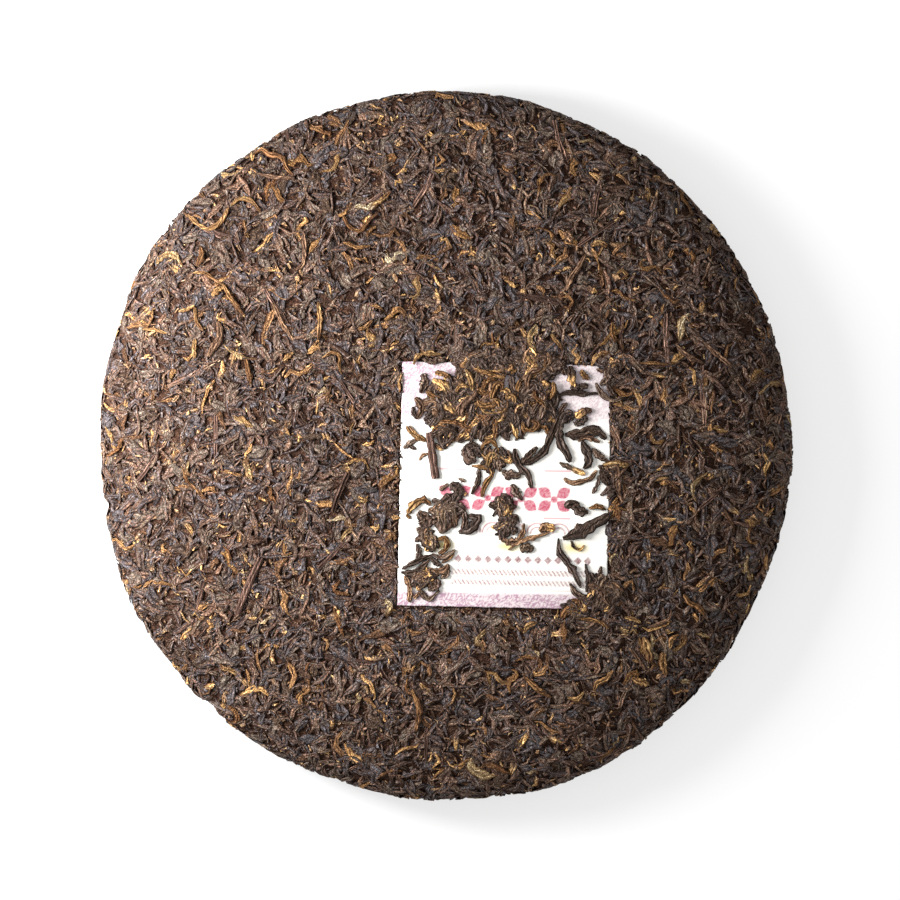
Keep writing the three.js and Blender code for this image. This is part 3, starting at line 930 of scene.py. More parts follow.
    def creases(self, tree: bpy.types.NodeTree) -> tuple[bpy.types.NodeSocket, bpy.types.NodeSocket]:
        """Adds the creases that run along the leaf.

        Args:
            tree: the material's nodes

        Returns:
            The plain grain, and the relief that is 0 in a crease and 1 between them.
        """
        along_leaf = add_node(tree, "ShaderNodeAttribute", {"attribute_name": LEAF_GRAIN})
        combed = add_node(
            tree,
            "ShaderNodeVectorMath",
            {"operation": "MULTIPLY"},
            {0: along_leaf.outputs["Vector"], 1: (1.0 / self.crease_length, 1.0 / self.crease_width, 1.0)},
        )
        grain = add_node(tree, "ShaderNodeTexNoise", inputs={"Vector": combed.outputs[0], "Scale": 1.0, "Detail": 2.0})
        return grain.outputs[0], self.furrows(tree, grain.outputs[0])

    def crinkles(self, tree: bpy.types.NodeTree, place: bpy.types.NodeSocket) -> bpy.types.NodeSocket:
        """Adds the fine crinkles that the press left over all leaves alike."""
        size = 1.0 / (self.crinkle_size * METRES)
        crinkle = add_node(tree, "ShaderNodeTexNoise", inputs={"Vector": place, "Scale": size, "Detail": 1.0})
        return self.furrows(tree, crinkle.outputs[0])

    def furrows(self, tree: bpy.types.NodeTree, height: bpy.types.NodeSocket) -> bpy.types.NodeSocket:
        """Turns a soft noise to flat-topped relief with thin furrows along its middle level.

        Args:
            tree: the material's nodes
            height: the noise

        Returns:
            0 in a furrow and 1 between them.
        """
        mirrored = add_node(tree, "ShaderNodeMath", {"operation": "PINGPONG"}, {0: height, 1: 0.5})
        opened = add_node(
            tree,
            "ShaderNodeMapRange",
            inputs={"Value": mirrored.outputs[0], "From Min": 0.5, "From Max": 0.36, "To Min": 0.0, "To Max": 1.0},
        )
        return opened.outputs[0]

    def colours(
        self,
        tree: bpy.types.NodeTree,
        marks: bpy.types.Node,
        parts: bpy.types.Node,
        place: bpy.types.NodeSocket,
        grain: bpy.types.NodeSocket,
    ) -> bpy.types.NodeSocket:
        """Adds the leaf's own colour, with its drift over the cake and its tip.

        Args:
            tree: the material's nodes
            marks: the leaf's marks
            parts: the marks apart, as tone, way along and crest
            place: the place on the cake
            grain: the leaf's grain

        Returns:
            The colour, before the painted shade of its folds and the painted highlight of its crests.
        """
        size = 1.0 / (self.patch_size * METRES)
        patches = add_node(tree, "ShaderNodeTexNoise", inputs={"Vector": place, "Scale": size, "Detail": 2.0})
        patched = add_node(
            tree,
            "ShaderNodeMath",
            {"operation": "MULTIPLY_ADD"},
            {0: patches.outputs[0], 1: self.patch_tone, 2: parts.outputs["Red"]},
        )
        grained = add_node(
            tree, "ShaderNodeMath", {"operation": "MULTIPLY_ADD"}, {0: grain, 1: self.grain_tone, 2: patched.outputs[0]}
        )
        tone = add_node(
            tree,
            "ShaderNodeMath",
            {"operation": "SUBTRACT", "use_clamp": True},
            {0: grained.outputs[0], 1: 0.5 * (self.patch_tone + self.grain_tone)},
        )
        ramp = add_node(tree, "ShaderNodeValToRGB", inputs={0: tone.outputs[0]})
        elements = ramp.color_ramp.elements
        elements[0].position, elements[0].color = self.stops[0][0], linear(self.stops[0][1])
        elements[1].position, elements[1].color = self.stops[-1][0], linear(self.stops[-1][1])
        for position, colour in self.stops[1:-1]:
            elements.new(position).color = linear(colour)
        near_tip = add_node(
            tree,
            "ShaderNodeMapRange",
            {"interpolation_type": "SMOOTHSTEP"},
            {"Value": parts.outputs["Green"], "From Min": 0.35, "From Max": 0.9},
        )
        has_tip = add_node(
            tree, "ShaderNodeMath", {"operation": "GREATER_THAN"}, {0: marks.outputs["Alpha"], 1: 1.0 - self.tipped}
        )
        tip_share = add_node(
            tree, "ShaderNodeMath", {"operation": "MULTIPLY"}, {0: near_tip.outputs[0], 1: has_tip.outputs[0]}
        )
        coloured = add_node(
            tree,
            "ShaderNodeMix",
            {"data_type": "RGBA"},
            {"Factor": tip_share.outputs[0], "A": ramp.outputs["Color"], "B": linear(self.tip)},
        )
        return coloured.outputs["Result"]


class TeaLook(Enum):
    """The finishes that leaves come in."""

    ROLLED = TeaFinish(
        name="rolled_ripe_leaf",
        stops=(
            (0.0, "#37281d"), (0.18, "#3b3939"), (0.3, "#412f24"), (0.45, "#45362a"), (0.58, "#45403c"),
            (0.7, "#4a3326"), (0.82, "#4b4438"), (0.92, "#503e30"), (1.0, "#584334"),
        ),
        tipped=0.04,
    )
    WIRY = TeaFinish(
        name="wiry_ripe_leaf",
        stops=(
            (0.0, "#382a1f"), (0.2, "#3c3a3b"), (0.35, "#443327"), (0.5, "#48392d"), (0.65, "#48433e"),
            (0.8, "#503a2b"), (0.92, "#54483a"), (1.0, "#5f4b3a"),
        ),
        tipped=0.06,
    )
    BROWN = TeaFinish(
        name="brown_twisted_leaf",
        stops=((0.0, "#3f2c1d"), (0.5, "#5f452b"), (0.85, "#785a36"), (1.0, "#8f7146")),
        tipped=0.2,
        tip="#836640",
        painted_fold_shade="#6e4526",
    )
    BROAD = TeaFinish(
        name="folded_ripe_leaf",
        stops=(
            (0.0, "#35291e"), (0.25, "#393839"), (0.45, "#403127"), (0.6, "#43382e"), (0.8, "#494238"),
            (1.0, "#4f3f34"),
        ),
    )
    FRAGMENT = TeaFinish(
        name="broken_ripe_leaf",
        stops=(
            (0.0, "#36291f"), (0.2, "#3d3b3b"), (0.38, "#453426"), (0.55, "#493b2f"), (0.68, "#49443e"),
            (0.8, "#53392a"), (0.9, "#5e503a"), (1.0, "#755c40"),
        ),
        tipped=0.04,
    )
    GOLDEN = TeaFinish(
        name="golden_tip",
        stops=((0.0, "#68472a"), (0.4, "#806038"), (0.7, "#8e764f"), (0.9, "#988664"), (1.0, "#a6997b")),
        tip="#5f442b",
        tipped=0.5,
        painted_fold_shade="#6e4f30",
        painted_crest_highlight=2.1,
    )
    STEM = TeaFinish(
        name="dry_stem",
        stops=((0.0, "#33251d"), (0.6, "#4c3a30"), (0.9, "#5f4a3c"), (1.0, "#7c6750")),
        crease_length=9.0,
        crinkle_share=0.2,
    )
    CRUMB = TeaFinish(
        name="leaf_crumb",
        stops=((0.0, "#332319"), (0.3, "#45403d"), (0.6, "#4f3b2d"), (0.88, "#67533a"), (1.0, "#8c744c")),
    )


    LOOSE_DARK = TeaFinish(
        name="loose_dark_leaf",
        stops=(
            (0.0, "#2a2018"), (0.3, "#362e28"), (0.5, "#403228"), (0.7, "#483d31"), (0.9, "#554431"), (1.0, "#6a553b"),
        ),
        tipped=0.1,
        crease_length=5.0,
        crease_width=1.1,
        crinkle_share=0.25,
        crumple_height=0.5,
    )
    LOOSE_BROWN = TeaFinish(
        name="loose_brown_leaf",
        stops=((0.0, "#3a2b20"), (0.5, "#523f2e"), (0.85, "#6a523a"), (1.0, "#7f6648")),
        tipped=0.3,
        tip="#9a7a4c",
        crease_length=5.0,
        crease_width=1.1,
        crinkle_share=0.25,
        crumple_height=0.5,
    )
    LOOSE_GOLDEN = TeaFinish(
        name="loose_golden_tip",
        stops=((0.0, "#64462a"), (0.4, "#7c5e3a"), (0.75, "#8c7149"), (1.0, "#9c855e")),
        tip="#5f442b",
        tipped=0.5,
        painted_fold_shade="#6a4826",
        painted_crest_highlight=2.2,
        crease_length=5.0,
        crease_width=1.1,
        crinkle_share=0.25,
        crumple_height=0.5,
    )


@dataclass(frozen=True)
class Layer:
    """How many leaves of a kind lie on each side of the cake."""

    kind: LeafKind
    look: TeaLook
    on_top: int
    on_rim: int
    beneath: int


LAYERS = (
    Layer(BROAD, TeaLook.BROAD, on_top=1350, on_rim=300, beneath=380),
    Layer(ROLLED, TeaLook.ROLLED, on_top=3300, on_rim=820, beneath=800),
    Layer(BROWN, TeaLook.BROWN, on_top=420, on_rim=130, beneath=110),
    Layer(WIRY, TeaLook.WIRY, on_top=1950, on_rim=540, beneath=440),
    Layer(FRAGMENT, TeaLook.FRAGMENT, on_top=5550, on_rim=1380, beneath=1350),
    Layer(STEM, TeaLook.STEM, on_top=46, on_rim=14, beneath=12),
    Layer(GOLDEN, TeaLook.GOLDEN, on_top=140, on_rim=56, beneath=42),
    Layer(HOOK, TeaLook.GOLDEN, on_top=72, on_rim=30, beneath=22),
    Layer(CRUMB, TeaLook.CRUMB, on_top=3000, on_rim=700, beneath=400),
)


@dataclass
class LeafMat:
    """The mat of leaves over the core: its top, its rim and its underside."""

    form: CakeForm
    ticket: TicketPlace
    shift: np.ndarray
    seed: int = 2357
    rim_start: float = 104.0
    rim_stop: float = 131.0
    underside_stop: float = 86.0
    top_flush: float = 0.65
    rim_flush: float = 0.8
    underside_flush: float = 0.55
    press: float = 0.2
    # Painted shade for leaves lying low in the mat: the depth where it is darkest, and how dark it is there
    deepest: float = -0.7
    painted_low_shade: float = 0.55
    paper_overlap: float = -0.1
    overlap_spread: float = 0.35
    deepest_push: float = 2.5
    seat_give: float = 0.5

    def build(self) -> None:
        """Builds the mat, one piece for each kind of leaf and side of the cake."""
        over, under = Wrap(self.form, from_below=False), Wrap(self.form, from_below=True)
        rng = np.random.default_rng(self.seed)
        for layer in LAYERS:
            finish = layer.look.value
            material = bpy.data.materials.get(finish.name) or finish.material()
            name = layer.kind.name
            top = self.field(layer.kind, layer.on_top, over, 0.0, self.rim_start, self.top_flush, rng, True)
            self.show(f"{name}_leaves_top", top, material)
            rim = self.field(layer.kind, layer.on_rim, over, self.rim_start, self.rim_stop, self.rim_flush, rng)
            self.show(f"{name}_leaves_rim", rim, material)
            below = self.field(layer.kind, layer.beneath, under, 0.0, self.underside_stop, self.underside_flush, rng)
            self.show(f"{name}_leaves_underside", below, material)

    def show(self, name: str, batch: LeafBatch, material: bpy.types.Material) -> None:
        """Shows a batch as a piece of the pressed tea."""
        place_piece(name, batch.mesh(name, self.shift), material, Node.CAKE)

    def field(
        self,
        kind: LeafKind,
        count: int,
        wrap: Wrap,
        start: float,
        stop: float,
        flush: float,
        rng: np.random.Generator,
        round_ticket: bool = False,
    ) -> LeafBatch:
        """Lays leaves of one kind over a band of the skin.

        Args:
            kind: the kind of leaf
            count: how many
            wrap: the flat map that they lie on
            start: where the band starts, along the skin
            stop: where it ends
            flush: the height that the press left, above the bare core
            rng: the source of their differences
            round_ticket: whether they keep off the ticket

        Returns:
            The leaves.
        """
        middles = wrap.spread(count, start, stop, rng)
        if kind.clustered:
            u, v = middles[:, 0] / 7.0, middles[:, 1] / 7.0
            patches = 0.5 + 0.5 * np.sin(u + 1.9 * np.sin(0.7 * v)) * np.cos(1.1 * v + 1.6 * np.sin(0.6 * u))
            middles = middles[rng.uniform(size=count) > kind.clustered * (1.0 - patches)]
            count = len(middles)
        offsets, lift, marks, grain = kind.grow(count, rng)
        drift = 1.2 * np.sin(middles[:, 0] / 13.0 + 1.7 * np.sin(middles[:, 1] / 19.0))
        heading = drift + rng.normal(0.0, 1.3, count)
        cos, sin = np.cos(heading)[:, None, None], np.sin(heading)[:, None, None]
        x, y = offsets[..., 0], offsets[..., 1]
        offsets = np.stack([x * cos - y * sin, x * sin + y * cos], axis=-1)
        lift = np.where(lift > flush, flush + self.press * (lift - flush), lift)
        # Painted shade: leaves that lie low in the mat get their crest marks darkened, as if in the shade of their
        # neighbours
        height_share = np.clip((lift - self.deepest) / (flush - self.deepest), 0.0, 1.0)
        marks[..., 2] *= self.painted_low_shade + (1.0 - self.painted_low_shade) * height_share
        flat = wrap.around(middles, offsets)
        if round_ticket:
            flat, kept = self.beside_ticket(middles, flat, rng)
            flat, lift, marks, grain = flat[kept], lift[kept], marks[kept], grain[kept]
        points = wrap.place(flat, lift)
        low = np.minimum(points[..., 2], self.seat_give)
        points[..., 2] = np.maximum(points[..., 2], self.seat_give * np.exp(low / self.seat_give - 1.0))
        return LeafBatch(points, marks, grain)

    def beside_ticket(
        self, middles: np.ndarray, flat: np.ndarray, rng: np.random.Generator
    ) -> tuple[np.ndarray, np.ndarray]:
        """Pushes leaves that would lie on the ticket out over its nearest edge.

        Args:
            middles: the flat places of the leaves' middles
            flat: the flat places of their ring points
            rng: the source of how far each leaf still laps over the paper

        Returns:
            The moved ring points, and which leaves are kept.
        """
        middle_depth = self.ticket.depth_inside(middles)
        nearest = middle_depth.argmin(axis=-1)
        kept = middle_depth.min(axis=-1) < self.deepest_push
        overlap = np.clip(rng.normal(self.paper_overlap, self.overlap_spread, len(middles)), -0.8, 1.5)
        depth = self.ticket.depth_inside(flat)
        inside = depth.min(axis=-1) > overlap[:, None, None]
        chosen = np.take_along_axis(depth, nearest[:, None, None, None], axis=-1)[..., 0]
        push = np.where(inside, chosen - overlap[:, None, None], 0.0).max(axis=(1, 2))
        outward = np.array([[1.0, 0.0], [-1.0, 0.0], [0.0, 1.0], [0.0, -1.0]])[nearest]
        turned = self.ticket.to_cake(outward) - self.ticket.to_cake(np.zeros_like(outward))
        return flat + (push[:, None] * turned)[:, None, None, :], kept


@dataclass
class PressedMass:
    """The core of the cake: one solid mass of leaf, pressed round, with a nest under it."""

    form: CakeForm
    ticket: TicketPlace
    shift: np.ndarray
    profile_steps: int = 48
    turns: int = 300
    relief: float = 0.5
    relief_size: float = 2.4
    paper_bed: float = 0.6
    sink: float = 0.22

    def build(self) -> None:
        """Builds the core and shows it."""
        mesh = self.mesh()
        # Painted shade: the core's colours are darker than the leaves', for the gaps between them where the core shows
        material = TeaFinish(
            name="pressed_leaf_mass",
            stops=((0.0, "#22150c"), (0.6, "#322116"), (1.0, "#463123")),
            painted_furrow_shade=0.75,
            crease_width=1.2,
            crumple_height=0.5,
        ).material()
        place_piece("pressed_core", mesh, material, Node.CAKE)

    def mesh(self) -> bpy.types.Mesh:
        """Spins the profile round and gives it its relief.

        Returns:
            The closed core, in metres.
        """
        shares, heights = self.form.profile(self.profile_steps)
        work = bmesh.new()
        line = [work.verts.new((share * self.form.core_radius, 0.0, z)) for share, z in zip(shares, heights)]
        edges = [work.edges.new(pair) for pair in zip(line[:-1], line[1:])]
        bmesh.ops.spin(
            work,
            geom=line + edges,
            cent=(0.0, 0.0, 0.0),
            axis=(0.0, 0.0, 1.0),
            dvec=(0.0, 0.0, 0.0),
            angle=math.tau,
            steps=self.turns,
            use_merge=True,
            use_duplicate=False,
        )
        bmesh.ops.remove_doubles(work, verts=work.verts[:], dist=1e-4)
        bmesh.ops.recalc_face_normals(work, faces=work.faces[:])
        work.normal_update()
        moves = [(vertex, self.pressed_point(vertex.co, vertex.normal)) for vertex in work.verts]
        for vertex, point in moves:
            vertex.co = (point + Vector(self.shift)) * METRES
        mesh = bpy.data.meshes.new("pressed_core")
        work.to_mesh(mesh)
        work.free()
        mesh.shade_smooth()
        # Painted shade: a low crest mark of 0.35 paints the whole core with fold shade
        tones = mesh.attributes.new(LEAF_MARKS, "FLOAT_COLOR", "POINT")
        tones.data.foreach_set("color", np.tile(np.array([0.5, 0.0, 0.35, 0.0], np.float32), len(mesh.vertices)))
        places = np.empty(3 * len(mesh.vertices), np.float32)
        mesh.vertices.foreach_get("co", places)
        mesh.attributes.new(LEAF_GRAIN, "FLOAT_VECTOR", "POINT").data.foreach_set("vector", places / METRES)
        return mesh

    def pressed_point(self, point: Vector, normal: Vector) -> Vector:
        """Gives a point of the round form its place in the pressed mass.

        Args:
            point: the point on the smooth round form
            normal: which way the form faces there

        Returns:
            The point with the cake's outline, relief and ticket bed.
        """
        angle = np.array([math.atan2(point.y, point.x)])
        reach = float(self.form.outline(angle)[0])
        ridges = 1.0 - 2.0 * abs(noise.noise(point / self.relief_size))
        bumps = noise.noise(point / (2.2 * self.relief_size))
        lift = self.relief * (0.7 * ridges + 0.5 * bumps - 0.6) - self.sink * abs(normal.z)
        depth = self.ticket.depth_inside(np.array([point.x, point.y])).min()
        if normal.z > 0.3 and depth > 0.0:
            lift -= self.paper_bed * min(1.0, depth / 1.5)
        moved = Vector((point.x * reach, point.y * reach, point.z)) + normal * lift
        moved.z = max(moved.z, 0.0)
        return moved


@dataclass(frozen=True)
class PaperFinish:
    """Thin cotton-white printing paper, uncoated, pressed into the damp leaf and dried with it.

    It is dull and faintly fibrous, with its print soaked in.
    """

    name: str = "ticket_paper_printed"
    roughness: float = 0.75
    fibre_size: float = 0.5
    fibre_height: float = 0.03

    def material(self) -> bpy.types.Material:
        """Makes the paper's material, which reads its print from the sheet's own colours."""
        material, tree, output = new_material(self.name)
        ink = add_node(tree, "ShaderNodeAttribute", {"attribute_type": "GEOMETRY", "attribute_name": INK})
        place = add_node(tree, "ShaderNodeTexCoord").outputs["Object"]
        fibres = add_node(
            tree,
            "ShaderNodeTexNoise",
            inputs={"Vector": place, "Scale": 1.0 / (self.fibre_size * METRES), "Detail": 3.0},
        )
        bump = add_node(
            tree,
            "ShaderNodeBump",
            inputs={"Strength": 0.6, "Distance": self.fibre_height * METRES, "Height": fibres.outputs[0]},
        )
        shader = add_node(
            tree,
            "ShaderNodeBsdfPrincipled",
            inputs={
                "Base Color": ink.outputs["Color"],
                "Roughness": self.roughness,
                "Specular IOR Level": 0.3,
                "Normal": bump.outputs["Normal"],
            },
        )
        tree.links.new(shader.outputs[0], output.inputs["Surface"])
        return material


@dataclass(frozen=True)
class Print:
    """A plain pattern for the ticket: speckled bands, a row of leaf sprigs, scallops and rows of strokes."""

    seed: int = 11
    paper: str = "#d5d2cc"
    lilac: str = "#8c707e"
    crimson: str = "#932344"
    rose: str = "#8d5d62"
    straw: str = "#c4b47c"
    brick: str = "#6c4347"
    sprig_row: float = -3.6
    sprig_spacing: float = 9.3
    sprig_reach: float = 18.6
    hairlines: tuple[float, ...] = (4.4, -8.9)
    hairline_half: float = 0.25
    lozenge_row: float = -20.7
    stroke_rows: tuple[float, ...] = (-24.4, -27.2)
    stroke_spacing: float = 1.15
    far_band: float = 15.0
    near_band: float = -29.6

    def colours(self, spots: np.ndarray, rng: np.random.Generator) -> np.ndarray:
        """Gives the printed colour at places of the ticket.

        Args:
            spots: places counted from the ticket's middle
            rng: the source of the speckle

        Returns:
            Linear colours with alpha.
        """
        x, y = spots[..., 0], spots[..., 1]
        colour = np.tile(np.array(linear(self.paper)), x.shape + (1,))
        tint = np.exp(-(((y + 17.0) / 1.5) ** 2)) * np.clip(np.cos(x / 3.0 - 0.4), 0.0, 1.0)
        colour = self.inked(colour, self.straw, tint)
        grain = rng.uniform(size=x.shape)
        far = np.clip((y - self.far_band) / 5.0, 0.0, 1.0)
        near = np.clip((self.near_band - y) / 1.0, 0.0, 1.0)
        # Painted shade: the far lilac wash is printed denser towards the left, against the stronger light on that side
        wash = np.maximum(far * (0.8 - 0.15 * x / 30.0), near)
        clouds = 0.5 + 0.5 * np.sin(x / 1.7 + 2.0 * np.sin(y / 1.3)) * np.cos(y / 1.9 + x / 3.1)
        colour = self.inked(colour, self.lilac, wash * np.where(grain < 0.2 + 0.4 * clouds, 1.0, 0.55))
        colour = self.inked(colour, self.brick, wash * (grain > 0.93) * 0.35)
        for line in self.hairlines:
            broken = np.abs(np.abs(x) - 15.0) < 3.8
            colour = self.inked(colour, self.crimson, broken * self.edge(self.hairline_half - np.abs(y - line)) * 0.7)
        colour = self.inked(colour, self.crimson, self.sprigs(x, y) * (0.7 + 0.3 * grain))
        colour = self.inked(colour, self.rose, self.scallops(x, y))
        across = np.abs(x - 5.0) < 19.5
        step = np.abs((x / 2.8) % 1.0 - 0.5) * 2.8
        lozenges = self.edge(1.2 - step - np.abs(y - self.lozenge_row)) * across
        colour = self.inked(colour, self.brick, lozenges * (0.6 + 0.4 * grain))
        for row in self.stroke_rows:
            slanted = (x + 0.7 * (y - row)) / self.stroke_spacing
            step = np.abs(slanted % 1.0 - 0.5) * self.stroke_spacing
            strokes = self.edge(0.33 - step) * self.edge(0.85 - np.abs(y - row)) * across
            colour = self.inked(colour, self.brick, strokes * (0.6 + 0.4 * grain))
        rule = self.edge(0.2 - np.abs(y + 29.2)) * across
        return self.inked(colour, self.brick, rule * 0.5)

    def inked(self, colour: np.ndarray, ink: str, share: np.ndarray) -> np.ndarray:
        """Lays an ink over colours, by its share at each place."""
        share = np.clip(share, 0.0, 1.0)[..., None]
        return colour * (1.0 - share) + np.array(linear(ink)) * share

    def edge(self, depth: np.ndarray) -> np.ndarray:
        """Softens a printed edge over a third of a millimetre."""
        return np.clip(0.5 + depth / 0.33, 0.0, 1.0)

    def sprigs(self, x: np.ndarray, y: np.ndarray) -> np.ndarray:
        """Gives a row of sprigs, each of four pointed leaves about a dot, drawn as broad brush marks."""
        middle = (np.floor(x / self.sprig_spacing) + 0.5) * self.sprig_spacing
        u, v = x - middle, y - self.sprig_row
        covered = self.edge(1.0 - np.hypot(u, v))
        for turn in (35.0, 145.0, 215.0, 325.0):
            cos, sin = math.cos(math.radians(turn)), math.sin(math.radians(turn))
            along, aside = u * cos + v * sin, v * cos - u * sin
            half = 1.6 * np.sin(math.pi * np.clip((along - 0.9) / 4.6, 0.0, 1.0))
            covered = np.maximum(covered, self.edge(half - np.abs(aside)) * (half > 0.0))
        return covered * (np.abs(x) < self.sprig_reach)

    def scallops(self, x: np.ndarray, y: np.ndarray) -> np.ndarray:
        """Gives a row of thin double arches."""
        pitch = 6.2
        u = (x / pitch) % 1.0 * pitch - pitch / 2.0
        v = y + 13.2
        radius = np.hypot(u, v)
        line = np.maximum(self.edge(0.2 - np.abs(radius - 2.8)), self.edge(0.16 - np.abs(radius - 1.7)))
        return line * (v > 0.0) * (np.abs(x - 3.0) < 15.5)


@dataclass
class TicketSheet:
    """The paper ticket, a thin sheet that follows the dome."""

    place: TicketPlace
    shift: np.ndarray
    thickness: float = 0.14
    cell: float = 0.33
    edge_wear: float = 0.06

    def build(self) -> None:
        """Builds the sheet and shows it."""
        place_piece("ticket_sheet", self.mesh(), PaperFinish().material(), Node.TICKET)

    def mesh(self) -> bpy.types.Mesh:
        """Lays a fine grid over the dome, prints it and gives it its thickness.

        Returns:
            The closed sheet, in metres.
        """
        work = bmesh.new()
        bmesh.ops.create_grid(
            work,
            x_segments=round(self.place.width / self.cell),
            y_segments=round(self.place.height / self.cell),
            size=0.5,
            matrix=Matrix.Diagonal((self.place.width, self.place.height, 1.0, 1.0)),
        )
        flat = np.array([vertex.co.xy for vertex in work.verts])
        rng = np.random.default_rng(5)
        colours = Print().colours(flat, rng)
        worn = flat.copy()
        wear = self.edge_wear * np.sin(flat[:, ::-1] * 1.3 + 2.0 * np.sin(flat[:, ::-1] / 2.7))
        half = np.array([self.place.width, self.place.height]) / 2.0
        near_edge = np.clip(1.0 - (half - np.abs(flat)) / 2.0, 0.0, 1.0)
        worn -= np.sign(flat) * (self.edge_wear + wear) * near_edge
        points = (self.place.place(worn, np.zeros(len(worn))) + self.shift) * METRES
        ink = work.verts.layers.float_color.new(INK)
        for vertex, point, colour in zip(work.verts, points, colours):
            vertex.co = Vector(point)
            vertex[ink] = colour
        bmesh.ops.recalc_face_normals(work, faces=work.faces[:])
        if work.faces[0].normal.z < 0.0:
            bmesh.ops.reverse_faces(work, faces=work.faces[:])
        bmesh.ops.solidify(work, geom=work.faces[:], thickness=self.thickness * METRES)
        mesh = bpy.data.meshes.new("ticket_sheet")
        work.to_mesh(mesh)
        work.free()
        mesh.shade_smooth()
        return mesh


@dataclass(frozen=True)
class LaidLeaf:
    """One listed leaf: its look, its width and its line, counted from the middle of what it lies on."""

    look: TeaLook
    width: float
    line: tuple[tuple[float, float], ...]
    lift: float = 0.25


DARK, TAN, GOLD, TWIG = TeaLook.LOOSE_DARK, TeaLook.LOOSE_BROWN, TeaLook.LOOSE_GOLDEN, TeaLook.STEM

